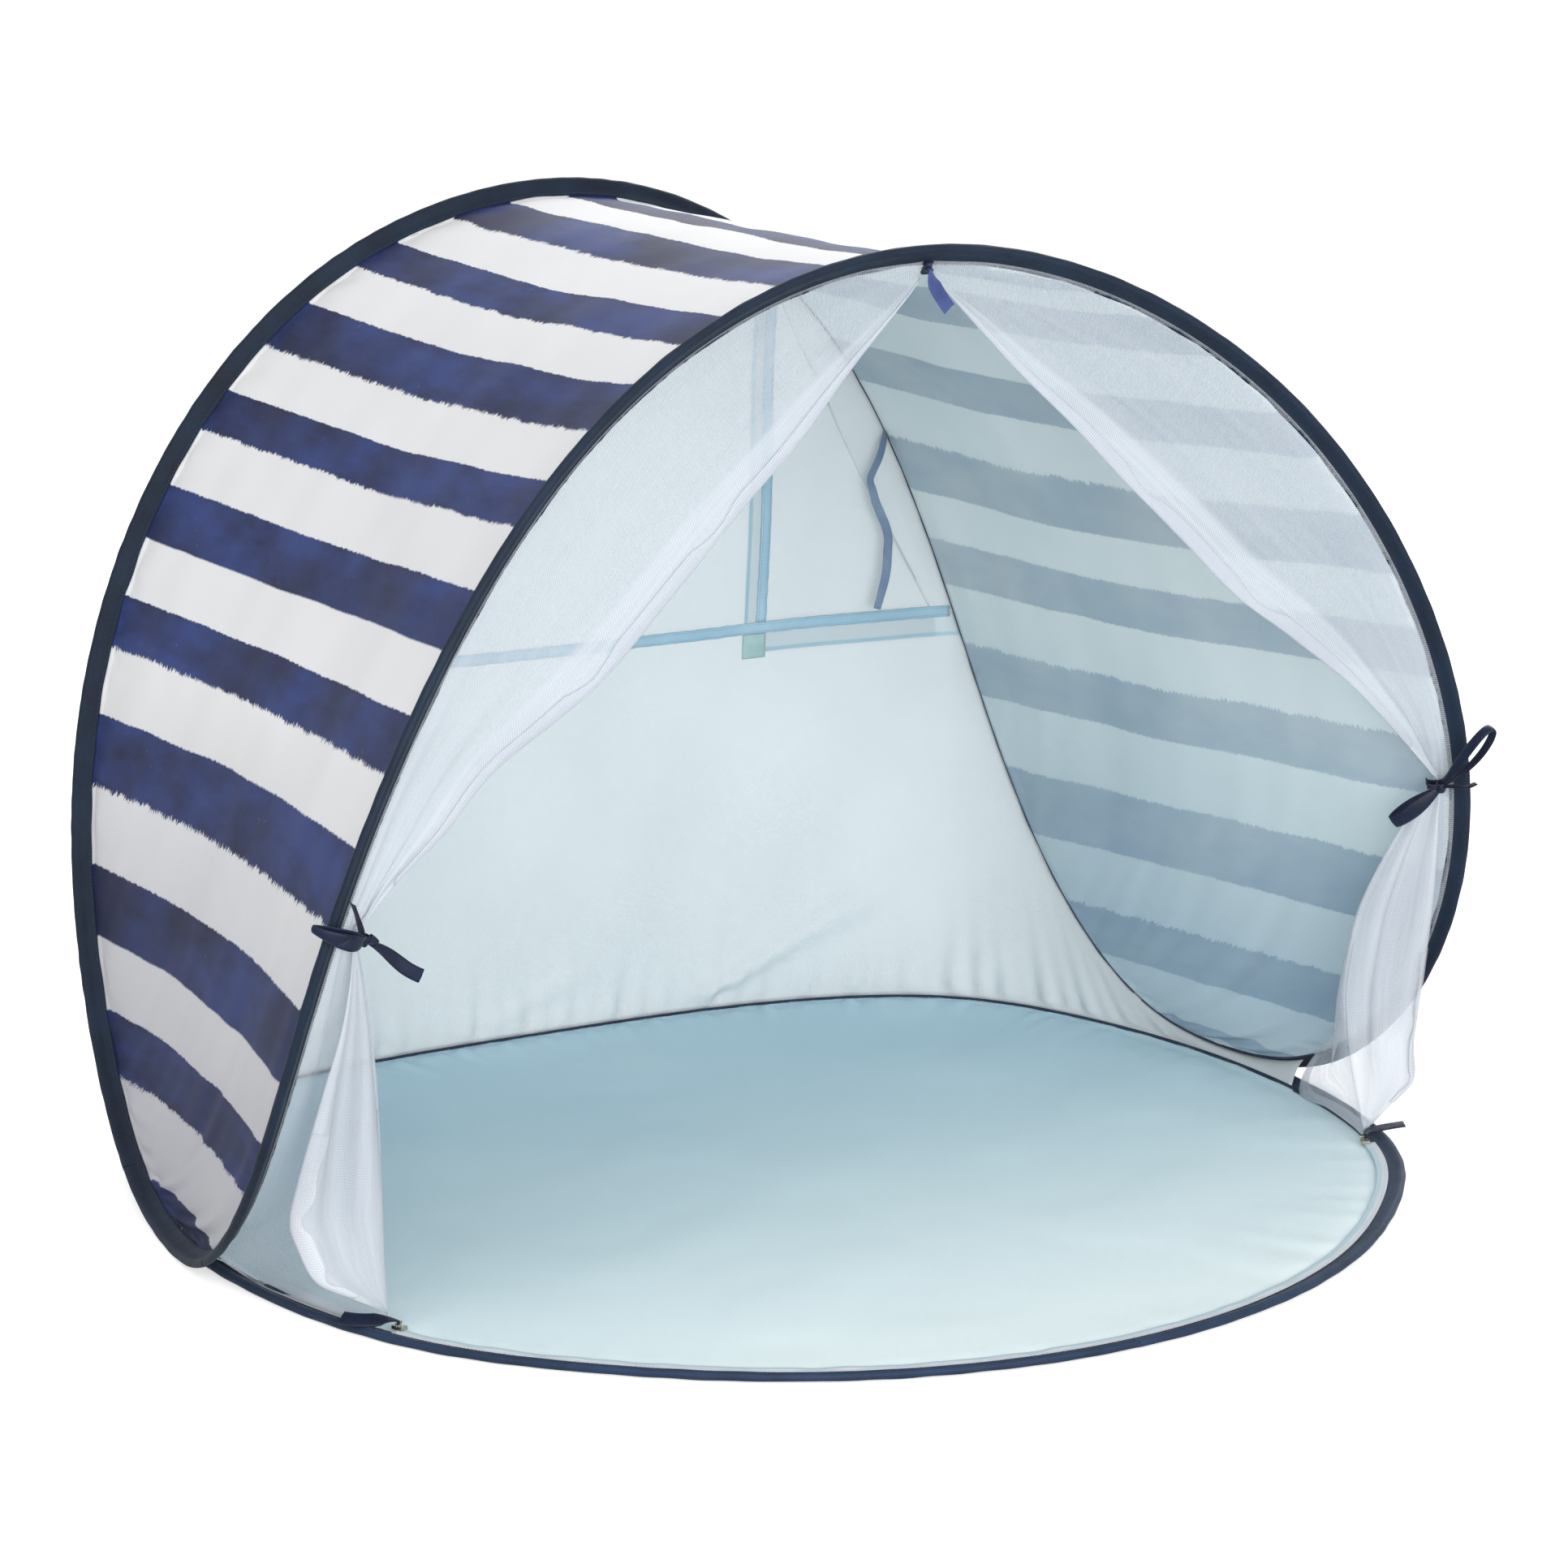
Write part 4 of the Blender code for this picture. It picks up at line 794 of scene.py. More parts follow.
front_pucker = seam_puckers(0.022, 61, 0.020, 0.0011)
pucker = np.where(across < width / 2, front_pucker, seam_puckers(0.025, 62, 0.022, 0.0013))
slack = waves(run, across, 0.21, 63) * 0.0012 + waves(run * 0.45, across, 0.10, 64) * 0.0007
tip_near = np.exp(-np.minimum(run, run[-1, 0] - run) / 0.16)
folds = line_waves(across, 0.055, 65) * tip_near * 0.0030
lift = free * (pucker + room * slack + folds * np.clip(width / 0.2, 0, 1))
grid = grid + facing(grid) * lift[..., None]

# The print's phase: each stripe starts at a whole number and ends half a step later
edges = [-2.0, *(np.array(STRIPES).ravel() / 100 * 40), 42.0]
marks = np.arange(2 * len(STRIPES)) * 0.5
phase = np.interp(stops, edges, [-1.4, *marks, marks[-1] + 1.0])
phase = np.broadcast_to(phase[:, None], across.shape)


def brush_stripes(tree, cut):
    """Share of navy ink, from 0 to 1: smooth on a stripe's one side, bristle marks on the other."""
    phase = add(tree, "ShaderNodeAttribute", attribute_name="stripe").outputs["Fac"]
    drift = noise(tree, cut, 0.16, 2.0)
    wander = span(tree, drift, 0.2, 0.8, -0.018, 0.018)
    moved = add(tree, "ShaderNodeMath", {0: phase, 1: wander}).outputs[0]
    number = add(tree, "ShaderNodeMath", {0: moved, 1: 0.25}).outputs[0]
    number = add(tree, "ShaderNodeMath", {0: number}, operation="FLOOR").outputs[0]
    within = add(tree, "ShaderNodeMath", {0: moved, 1: number}, operation="SUBTRACT").outputs[0]
    shuffle = add(tree, "ShaderNodeTexWhiteNoise", {"W": number}, noise_dimensions="1D").outputs["Value"]
    ragged = span(tree, shuffle, 0.25, 0.65, 0.12, 1.0)
    bristle = noise(tree, cut, 0.0026, 3.0, 0.7, stretch=(0.25, 1, 1))
    tuft = noise(tree, cut, 0.022, 3.0, 0.6, stretch=(0.3, 1, 1))
    bristle = span(tree, bristle, 0.30, 0.72, -0.034, 0.026)
    tuft = span(tree, tuft, 0.3, 0.7, -0.014, 0.020)
    marks = add(tree, "ShaderNodeMath", {0: bristle, 1: tuft}).outputs[0]
    marks = add(tree, "ShaderNodeMath", {0: marks, 1: ragged}, operation="MULTIPLY").outputs[0]
    rough_edge = add(tree, "ShaderNodeMath", {0: within, 1: marks}).outputs[0]
    fuzz = noise(tree, cut, 0.006, 3.0, 0.6)
    fuzz = span(tree, fuzz, 0.3, 0.7, -0.008, 0.008)
    clean_edge = add(tree, "ShaderNodeMath", {0: within, 1: fuzz}).outputs[0]
    inside = span(tree, rough_edge, -0.006, 0.010)
    before = span(tree, clean_edge, 0.494, 0.506, 1.0, 0.0)
    return add(tree, "ShaderNodeMath", {0: inside, 1: before}, operation="MULTIPLY").outputs[0]


def object_place(tree):
    """A point's place on the object, as three sockets for x, y and z."""
    place = add(tree, "ShaderNodeTexCoord").outputs["Object"]
    return add(tree, "ShaderNodeSeparateXYZ", {0: place}).outputs


def printed_taffeta(name, white_codes, ink_codes, edge_code, bloom, glow_share, glow_codes, rough, low_shade_code):
    """Taffeta with the stripes printed on it, as one side of it shows them."""
    material, tree, shader = new_material(name)
    cut = on_cloth(tree)
    ink = brush_stripes(tree, cut)
    wash = noise(tree, cut, 0.045, 5.0, 0.62, stretch=(1.0, 0.35, 1))
    pools = noise(tree, cut, 0.17, 3.0, 0.5)
    tone = add(tree, "ShaderNodeMath", {0: wash, 1: pools}, operation="MULTIPLY").outputs[0]
    navy = blend_colour(tree, span(tree, tone, 0.16, 0.34), colour(ink_codes[0]), colour(ink_codes[1]))
    specks = span(tree, noise(tree, cut, 0.011, 4.0, 0.7), 0.66, 0.76, 0.0, bloom)
    navy = blend_colour(tree, specks, navy, colour(edge_code))
    cream = noise(tree, cut, 0.24, 2.0)
    ground = blend_colour(tree, span(tree, cream, 0.3, 0.7), colour(white_codes[0]), colour(white_codes[1]))
    dyed = blend_colour(tree, ink, ground, navy)
    # Painted shade: the cloth is a little darker near the ground, where less light reaches it
    low = span(tree, object_place(tree)[2], 0.44, 0.12)
    inputs = {0: 1.0, 6: dyed, 7: colour(low_shade_code)}
    shaded_low_colour = add(tree, "ShaderNodeMix", inputs, data_type="RGBA", blend_type="MULTIPLY").outputs[2]
    tree.links.new(blend_colour(tree, low, dyed, shaded_low_colour), shader.inputs["Base Color"])
    yarns = weave(tree, cut, 0.0010)
    creases = noise(tree, cut, 0.035, 3.0, 0.5, stretch=(1, 0.5, 1))
    height = add(tree, "ShaderNodeMath", {0: creases, 1: 4.0}, operation="MULTIPLY").outputs[0]
    height = add(tree, "ShaderNodeMath", {0: yarns, 1: height}).outputs[0]
    through = blend_colour(tree, ink, colour(glow_codes[0]), colour(glow_codes[1]))
    finish_cloth(tree, shader, height, 0.00010, 0.05, rough, (glow_share, through))
    return material


canopy_outside = printed_taffeta(
    "polyester taffeta, white with navy print",
    white_codes=("EDEDED", "E5E5E6"),
    ink_codes=("161F44", "2C3E78"),
    edge_code="7A82B4",
    bloom=0.5,
    glow_share=0.10,
    glow_codes=("F4F8FA", "26335C"),
    rough=0.72,
    low_shade_code="D4D4D8",
)
canopy_inside = printed_taffeta(
    "polyester taffeta, coated inside",
    white_codes=("EEF7F7", "E8F3F4"),
    ink_codes=("C2D4E0", "D4E1E7"),
    edge_code="D4DFE4",
    bloom=0.4,
    glow_share=0.25,
    glow_codes=("F4FAFA", "BACBDC"),
    rough=0.6,
    low_shade_code="D0DCE6",
)

sides = [canopy_outside, canopy_inside]
canopy = cloth_shell("canopy", grid, CLOTH, sides, along=run, across=across, extra=[("stripe", phase)])
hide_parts("canopy_panel")
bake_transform(canopy)


# The floor. Waterproof coated polyester, pale blue, sewn into the floor ring's sleeve. It lies flat on
# the ground, with soft folds where the seam gathers it.

# Rounds of the floor from its seam inwards: the first ones by their distance from the wire, on their
# way down to the ground, and the rest as shares of the last of these
FLOOR_INSETS = (0.0105, 0.0135, 0.0170, 0.0200, 0.0235, 0.0270, 0.0305, 0.0340)
FLOOR_SHARES = (*np.linspace(0.985, 0.03, 58), 0.015, 0.006, 0.0002)
LAID_HEIGHT = CLOTH / 2 + 0.0001
stops = np.arange(0, 72, 0.125)
outer = []
for inset in FLOOR_INSETS:
    round_points = floor_ring.place(stops, inset)
    ease = np.clip((inset - SLEEVE_MOUTH) / (FLOOR_INSETS[-1] - SLEEVE_MOUTH), 0, 1)
    round_points[:, 2] = round_points[:, 2] * (1 - ease) + LAID_HEIGHT * ease
    outer.append(round_points)
last = outer[-1]
centre = np.array((0.0, 0.02, LAID_HEIGHT))
outer += [centre + (last - centre) * share for share in FLOOR_SHARES]
grid = np.stack(outer, axis=1)
reach = lengths(grid, 1)
run = np.broadcast_to((stops * floor_ring.step(5))[:, None], reach.shape)
rise = (1 + line_waves(run, 0.05, 71)) * 0.0005 * np.exp(-np.clip(reach - 0.02, 0, 1) / 0.045)
rise = rise + np.clip(waves(grid[..., 0], grid[..., 1], 0.23, 72), -0.2, 1) * 0.0012
back = np.clip((grid[..., 1] - 0.2) / 0.25, 0, 1)
rise = rise + back * (1 + line_waves(run, 0.035, 73)) * 0.0012 * np.exp(-np.clip(reach - 0.02, 0, 1) / 0.03)
grid[..., 2] += np.clip((reach - 0.0065) / 0.01, 0, 1) * np.clip(rise, 0, 1)


def coated_cloth(name, codes, glow_share, glow_code, rough, relief, sheen=0.1, cloud=0.25):
    """Light woven cloth with a coating: fine yarns, soft creases and slightly uneven colour."""
    material, tree, shader = new_material(name)
    cut = on_cloth(tree)
    place = add(tree, "ShaderNodeTexCoord").outputs["Object"]
    patches = noise(tree, place, cloud, 3.0)
    base = blend_colour(tree, span(tree, patches, 0.3, 0.7), colour(codes[0]), colour(codes[1]))
    tree.links.new(base, shader.inputs["Base Color"])
    yarns = weave(tree, cut, 0.0010)
    creases = noise(tree, place, 0.05, 3.0, 0.5)
    height = add(tree, "ShaderNodeMath", {0: creases, 1: relief}, operation="MULTIPLY").outputs[0]
    height = add(tree, "ShaderNodeMath", {0: yarns, 1: height}).outputs[0]
    glow = None if glow_share is None else (glow_share, colour(glow_code))
    finish_cloth(tree, shader, height, 0.00010, sheen, rough, glow)
    return material


def painted(material):
    """A material's tree, its shader's colour socket, and what feeds that socket."""
    tree = material.node_tree
    base = tree.nodes["Principled BSDF"].inputs["Base Color"]
    return tree, base, base.links[0].from_socket


# Painted light: the floor's blue turns paler towards the front, where more light reaches it, and stays darker
# at the back, in the canopy's shade
floor_cloth = coated_cloth("polyester, waterproof coated", ("B3D2DF", "BCD8E2"), None, None, 0.5, 5.0, 0.0)
tree, base, blue = painted(floor_cloth)
painted_front_light = span(tree, object_place(tree)[1], 0.28, -0.42, 0.0, 0.95)
tree.links.new(blend_colour(tree, painted_front_light, blue, colour("E9F5F5")), base)
grid = grid[:, ::-1]
floor = cloth_shell("floor_cloth", grid, CLOTH, [floor_cloth], True, grid[..., 0] + 0.6, grid[..., 1] + 0.6)
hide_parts("floor_panel")
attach(floor, "tent")


# The back wall. Pale blue polyester, in a lower panel and three upper ones, sewn to the back arch and to
# the floor; low down it runs on past the ground tips as a narrow strip. The seams pucker it and soft
# creases run across it.

WALL_LAP = 0.0016
# How far in from the wire the cloth is sewn to a sleeve
SEWN_AT = SLEEVE_TAIL - 0.004
# The gap left between two panels that meet
PANEL_GAP = 0.0002
SILL_HEIGHT = 0.386
VENT_INNER_X = 0.245
VENT_OUTER_X = 0.430
VENT_TOP_Z = 0.712
FLAP_OVERLAP = 0.025

wall_stops = np.linspace(-1.6, 41.6, 351)
wall_top = canopy_ring.place(20 + wall_stops, SEWN_AT, WALL_LAP)
wall_foot = floor_ring.place(16 + wall_stops, SEWN_AT, -WALL_LAP)


def wall_depth(x, z):
    """How far back the wall's cloth stands at a place seen from the front."""
    x, z = np.broadcast_arrays(np.asarray(x, float), np.asarray(z, float))
    flat_x, flat_z = x.ravel(), z.ravel()
    result = np.zeros(len(flat_x))
    for index, (px, pz) in enumerate(zip(flat_x, flat_z)):
        part = (wall_top[:, 2] - pz) / (wall_top[:, 2] - wall_foot[:, 2])
        reached = part >= -0.02
        here = wall_top[reached] * (1 - part[reached, None]) + wall_foot[reached] * part[reached, None]
        result[index] = np.interp(px, here[:, 0], here[:, 1])
    return result.reshape(x.shape)


# Creases that run up from the foot seam: where each starts, where it fades out, and its depth
WALL_CREASES = (
    (0.150, 0.004, 0.450, 0.162, 0.0085),
    (-0.070, 0.010, 0.080, 0.075, 0.0030),
    (-0.300, 0.012, -0.180, 0.090, 0.0035),
    (0.392, 0.006, 0.432, 0.045, 0.0030),
    (0.425, 0.010, 0.462, 0.065, 0.0030),
    (-0.450, 0.030, -0.330, 0.160, 0.0040),
)


def wall_swell(x, z):
    """Creases and slack of the wall, outwards; the slack is the same on both sides of the middle."""
    crease = np.sin((x * 0.55 + z * 1.0) / 0.055 + 1.2 * np.sin(x / 0.11)) * 0.0016
    from_middle = np.sqrt(x**2 + 0.03**2)
    crease = crease * np.clip((0.30 - z) / 0.2, 0, 1) + waves(from_middle, z, 0.16, 81) * 0.0020
    for x1, z1, x2, z2, deep in WALL_CREASES:
        length = math.hypot(x2 - x1, z2 - z1)
        along = ((x - x1) * (x2 - x1) + (z - z1) * (z2 - z1)) / length
        beside = ((x - x1) * (z2 - z1) - (z - z1) * (x2 - x1)) / length
        begin = np.clip(along / 0.05, 0, 1)
        ends = begin**2 * (3 - 2 * begin) * np.clip((length - along) / (0.4 * length), 0, 1)
        aside = beside / (0.008 + 0.05 * np.clip(along, 0, length))
        crease = crease - ends * deep * np.exp(-(aside**2)) * (1 + 0.8 * np.tanh(aside))
    return crease


def rearward(grid):
    """The way each point of a wall's grid faces, turned to the rear."""
    way = facing(grid)
    return way * np.sign(way[way.shape[0] // 2, way.shape[1] // 2, 1])


def wall_grid(x, z, offset=0.0, slack=1.0):
    """Points of the wall at places seen from the front, moved out to the rear by an offset."""
    x, z = np.broadcast_arrays(np.asarray(x, float), np.asarray(z, float))
    grid = np.stack([x, wall_depth(x, z), z], axis=-1)
    return grid + rearward(grid) * (np.asarray(offset) + wall_swell(x, z) * slack)[..., None]


wall_inside = coated_cloth("polyester, pale blue", ("DADFE1", "E4E8E9"), 0.35, "E2E9EB", 0.65, 7.0, 0.05, 0.3)

# Where a vent's flap lies behind a panel, less light comes through, and least at the flap's hem
FREE_X = VENT_INNER_X - FLAP_OVERLAP
FREE_Z = SILL_HEIGHT - FLAP_OVERLAP
tree, base, plain = painted(wall_inside)
place = object_place(tree)
beside = add(tree, "ShaderNodeMath", {0: place[0]}, operation="ABSOLUTE").outputs[0]
slant = span(tree, place[2], SILL_HEIGHT, VENT_TOP_Z, VENT_OUTER_X, VENT_INNER_X)
beyond = span(tree, place[2], SILL_HEIGHT, SILL_HEIGHT - 0.002, 0.0, 0.03)
slant = add(tree, "ShaderNodeMath", {0: slant, 1: beyond}).outputs[0]
past = add(tree, "ShaderNodeMath", {0: beside, 1: slant}, operation="SUBTRACT").outputs[0]


def flap_shade(inset):
    """One over the flap, inside an inset from its free edges."""
    total = span(tree, beside, FREE_X + inset, FREE_X + inset + 0.0008)
    for edge in (
        span(tree, place[2], FREE_Z + inset, FREE_Z + inset + 0.0008),
        span(tree, place[2], VENT_TOP_Z, VENT_TOP_Z + 0.001, 1.0, 0.0),
        span(tree, past, 0.0, 0.001, 1.0, 0.0),
    ):
        total = add(tree, "ShaderNodeMath", {0: total, 1: edge}, operation="MULTIPLY").outputs[0]
    return total


whole = flap_shade(0.0)
hem = add(tree, "ShaderNodeMath", {0: whole, 1: flap_shade(0.004)}, operation="SUBTRACT").outputs[0]
shade = add(tree, "ShaderNodeMath", {0: hem, 1: 0.70}, operation="MULTIPLY").outputs[0]
shade = add(tree, "ShaderNodeMath", {0: whole, 1: 0.24, 2: shade}, operation="MULTIPLY_ADD").outputs[0]
doubled = add(tree, "ShaderNodeAttribute", attribute_name="doubled").outputs["Fac"]
shade = add(tree, "ShaderNodeMath", {0: shade, 1: doubled}, operation="MULTIPLY").outputs[0]
tree.links.new(blend_colour(tree, shade, plain, colour("A9CBD8")), base)

# Lower panel: from the foot seam up to the sill, or to the arch beside it. Its slack and its gathers
# fade where it gets low, and the strip past the tips leans in, clear of the arch's sleeve.
part_sill = np.clip((wall_top[:, 2] - SILL_HEIGHT) / (wall_top[:, 2] - wall_foot[:, 2]), 0, 1)
rows = np.linspace(0.0, 1.0, 60)[None, :]
rows = rows - np.sin(2 * np.pi * rows) * 0.05
share = part_sill[:, None] * (1 - rows) + rows
grid = wall_top[:, None] * (1 - share[..., None]) + wall_foot[:, None] * share[..., None]
across = lengths(grid, 1)
run = lengths(grid, 0)[:, -1:] + 0 * across
up = across[:, -1:] - across
edge = np.minimum(up, np.where(part_sill[:, None] > 0, 1.0, across))
held = np.clip((edge - 0.004) / 0.02, 0, 1) * np.clip(np.minimum(run, run[-1, -1] - run) / 0.03, 0, 1)
tall = np.clip((across[:, -1:] - 0.060) / 0.12, 0, 1)
gather = line_waves(run, 0.030, 82) * 0.0028 * np.exp(-np.clip(up - 0.004, 0, 1) / 0.030)
gather = gather * np.clip((up - 0.003) / 0.005, 0, 1) * tall - (1 - tall) * np.sin(np.pi * rows) * 0.0022
swell = held * tall * wall_swell(grid[..., 0], grid[..., 2]) + gather
grid = grid + rearward(grid) * swell[..., None]
over_flap = [("doubled", np.ones(grid.shape[:2]))]
lower = cloth_shell("back_wall_lower_cloth", grid[::-1], CLOTH, [wall_inside], False, run, across, over_flap)
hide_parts("back_wall_lower")
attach(lower, "tent")

# Middle panel: between the two vents, up to the arch
arch_top = wall_top[np.abs(wall_top[:, 0]) < 0.30]
x = np.linspace(-VENT_INNER_X + PANEL_GAP, VENT_INNER_X - PANEL_GAP, 90)[:, None]
top = np.interp(x, arch_top[:, 0], arch_top[:, 2])
z = SILL_HEIGHT + PANEL_GAP + (top - SILL_HEIGHT) * np.linspace(0, 1, 70)[None, :]
grid = wall_grid(x, z, slack=np.clip((top - z) / 0.04, 0, 1))
over_flap = [("doubled", np.ones(grid.shape[:2]))]
middle = cloth_shell("back_wall_middle_cloth", grid, CLOTH, [wall_inside], extra=over_flap)
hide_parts("back_wall_centre")
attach(middle, "tent")


def mirror(grid, sign):
    return np.asarray(grid, float) * (sign, 1.0, 1.0)


# The vents. Each is an opening at a shoulder of the wall: the corner beside the arch, a flap hung
# outside along the slanting edge, a taped inner edge, a hook-and-loop tab and a ribbon that ties the
# rolled flap up. The right one shows in the doorway; the left one is its mirror.

wall_tape = coated_cloth(
    "polyester tape, blue grey", ("94B6C8", "A6C4D4"), 0.12, "B8D6E2", 0.6, 2.0, sheen=0.2, cloud=0.05
)
hook_tape = coated_cloth(
    "hook and loop tape, grey green", ("8FACAD", "A3BDBD"), None, None, 0.85, 9.0, sheen=0.3, cloud=0.02
)
pale_thread = twisted_thread("spun thread, blue grey", "5C8398", "86AABB")
# Painted light: the vents' ties are navy ribbon, coloured a paler slate blue for the light on them
tie_ribbon_painted_light = navy_tape("satin ribbon, slate blue", "5B6E88", "7C8FA6", 0.5, 0.4)

SIDES = (("left", -1.0), ("right", 1.0))
TAPE_THICKNESS = 0.0006
VENT_TAPE_WIDTH = 0.011

arch_side = wall_top[(wall_top[:, 0] > 0.2) & (wall_top[:, 2] > 0.3)]
arch_side = arch_side[np.argsort(arch_side[:, 2])]
corner_top = float(np.interp(VENT_INNER_X, arch_top[:, 0], arch_top[:, 2]))

for side, sign in SIDES:
    heights = np.linspace(corner_top, SILL_HEIGHT + PANEL_GAP, 60)
    arch_x = np.interp(heights, arch_side[:, 2], arch_side[:, 0])
    outer = evenly([(at_x, 0, height) for at_x, height in zip(arch_x, heights)], 60)
    vent_top = (VENT_INNER_X + PANEL_GAP, 0, VENT_TOP_Z)
    inner_a = evenly([(VENT_INNER_X + PANEL_GAP, 0, corner_top - 0.001), vent_top], 12)
    inner_b = evenly([vent_top, (VENT_OUTER_X, 0, SILL_HEIGHT + PANEL_GAP)], 48)
    inner_line = np.concatenate([inner_a[:-1], inner_b])
    share = np.linspace(0, 1, 24)[None, :, None]
    flat = outer[:, None] * (1 - share) + inner_line[:, None] * share
    grid = wall_grid(flat[..., 0], flat[..., 2], slack=0.4 * (1 - np.abs(2 * share[..., 0] - 1)))
    facing_cloth = cloth_shell("vent_corner_cloth_" + side, mirror(grid, sign), CLOTH, [wall_inside])
    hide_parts("vent_facing_" + side)
    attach(facing_cloth, "tent")

    z = np.linspace(FREE_Z, VENT_TOP_Z, 60)[None, :]
    slant = VENT_INNER_X + (VENT_OUTER_X - VENT_INNER_X) * (VENT_TOP_Z - z) / (VENT_TOP_Z - SILL_HEIGHT)
    hinge_x = np.minimum(slant, VENT_OUTER_X) + 0.0028
    x = FREE_X + (hinge_x - FREE_X) * np.linspace(0, 1, 40)[:, None]
    belly = np.sin(np.linspace(0, np.pi, 40))[:, None] * np.sin(np.linspace(0, np.pi, 60))[None, :] * 0.004
    grid = wall_grid(x, z, 0.0009 + belly)
    flap = cloth_shell("vent_flap_cloth_" + side, mirror(grid, sign), CLOTH, [wall_inside])
    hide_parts("vent_flap_" + side)
    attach(flap, "vent_flap_" + side)

    x = VENT_INNER_X - VENT_TAPE_WIDTH + np.linspace(0, VENT_TAPE_WIDTH, 6)[:, None]
    z = np.linspace(SILL_HEIGHT + 0.0060, VENT_TOP_Z, 80)[None, :]
    grid = mirror(wall_grid(x + line_waves(z, 0.02, 91) * 0.00025, z, -0.0011), sign)
    tape = cloth_shell("vent_edge_tape_" + side, grid, TAPE_THICKNESS, [wall_tape])
    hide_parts("vent_tape_" + side)
    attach(tape, "tent")
    tape_seams = [mirror(wall_grid(x[k : k + 2], z, -0.0015)[0], sign) for k in (1, 4)]
    seams = sew("vent_tape_stitching_" + side, tape_seams, pale_thread, FINE_THREAD_WIDTH)
    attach(seams, "tent")

    x = VENT_INNER_X - 0.026 + np.linspace(0, 0.026, 10)[:, None]
    z = SILL_HEIGHT - 0.0058 - np.linspace(0, 0.024, 10)[None, :]
    tab = cloth_shell("vent_hook_tab_" + side, mirror(wall_grid(x, z, -0.0012), sign), 0.0008, [hook_tape])
    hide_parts("vent_tab_" + side)
    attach(tab, "tent")

# The tape across the wall at the vents' foot
x = np.linspace(-0.448, 0.448, 260)[:, None]
z = SILL_HEIGHT - VENT_TAPE_WIDTH / 2 + np.linspace(0, VENT_TAPE_WIDTH, 6)[None, :]
z = z + line_waves(x, 0.025, 92) * 0.0002
sill = cloth_shell("sill_edge_tape", wall_grid(x, z, -0.0011), TAPE_THICKNESS, [wall_tape])
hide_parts("sill_tape")
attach(sill, "tent")
sill_seams = [wall_grid(x, z, -0.0015)[:, k] for k in (1, 4)]
seams = sew("sill_stitching", sill_seams, pale_thread, FINE_THREAD_WIDTH)
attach(seams, "tent")


def smooth_line(points, count):
    """A smooth line through points, with that many steps."""
    points = np.asarray(points, float)
    padded = np.concatenate([[2 * points[0] - points[1]], points, [2 * points[-1] - points[-2]]])
    place = np.linspace(0, len(points) - 1, count)
    low = np.minimum(place.astype(int), len(points) - 2)
    t = (place - low).reshape((-1,) + (1,) * (points.ndim - 1))
    a, b, c, d = (padded[low + k] for k in range(4))
    return 0.5 * (2 * b + (c - a) * t + (2 * a - 5 * b + 4 * c - d) * t**2 + (3 * b - a - 3 * c + d) * t**3)


def ribbon_grid(path, wide, width, rows=7, cup=0.0):
    """Points of a flat ribbon along a path; wide is the way its width points along the path."""
    path = np.asarray(path, float)
    wide = np.broadcast_to(np.asarray(wide, float), path.shape)
    ahead = np.gradient(path, axis=0)
    thin = unit(np.cross(ahead, wide))
    wide = unit(np.cross(thin, ahead))
    place = np.linspace(-0.5, 0.5, rows)[None, :, None]
    reach = np.broadcast_to(np.asarray(width, float), (len(path),))[:, None, None]
    return path[:, None] + wide[:, None] * place * reach + thin[:, None] * (4 * place**2 - 0.5) * cup


def stop_at_height(height, rising):
    """The stop of the canopy's ring at a height, among stops in the order that they rise."""
    return float(np.interp(height, canopy_ring.at(rising)[0][:, 2], rising))


# The vents' ties hang from the seam; each pair is a share of the way down and the ribbon's sway there
TIE_DROP = 0.165
TIE_SWAY = (
    (0.0, 0.0),
    (0.1, 0.006),
    (0.22, 0.018),
    (0.36, 0.011),
    (0.55, -0.004),
    (0.79, -0.002),
    (1.0, 0.009),
)
vent_tie_stop = stop_at_height(0.575, np.arange(41.0, 59.0, 0.05)[::-1])
start = canopy_ring.place(vent_tie_stop, SLEEVE_TAIL + 0.0003, 0.00095)
_, seam_way, inward, _ = canopy_ring.at(vent_tie_stop)
path = [start]
wide = [seam_way]
for share in np.linspace(0, 1, 60):
    drop = share**1.3
    swing = np.interp(drop, *np.transpose(TIE_SWAY))
    out = 0.012 * (1 - math.exp(-5 * share))
    path.append(start + inward * (0.004 + out) + np.array((-swing, -out / 2, -TIE_DROP * drop)))
    turn = min(1.0, 2.5 * share)
    turned = np.array((0.95, 0.35 * math.sin(7 * share) - 0.15, 0.0))
    wide.append(unit(seam_way * (1 - turn) + turned * turn))
path = smooth_line(np.array(path)[::4], 60)
wide = np.array(wide)[np.linspace(0, len(wide) - 1, 60).astype(int)]
grid = ribbon_grid(path, wide, 0.0085, cup=0.0003)
for side, sign in SIDES:
    tie = cloth_shell("vent_tie_ribbon_" + side, mirror(grid, sign), TAPE_THICKNESS, [tie_ribbon_painted_light])
    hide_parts("vent_tie_" + side)
    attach(tie, "tent")


# The net door. Two halves of fine white polyester net, sewn to the front arch and to the floor's edge,
# open down the middle and along the floor where the zip is undone. Each is drawn aside and tied back
# at a third of the height; above the tie it spans the arch, below it hangs in folds.

NET_CLOTH = 0.0004
NET_LAP = 0.00160
TIE_HEIGHT = 0.350
FLOOR_SLIDER_Y = -0.200
BUNCH_THICKNESS = 0.0060
BUNCH_WIDTH = 0.0130
# The free edge above the tie: the share of the way down, and how far across and how high it is there
NET_EDGE = (
    (0.000, 0.00, 1.00),
    (0.167, 0.18, 0.80),
    (0.333, 0.36, 0.61),
    (0.500, 0.56, 0.40),
    (0.667, 0.76, 0.25),
    (0.833, 0.90, 0.11),
    (1.000, 1.00, 0.00),
)
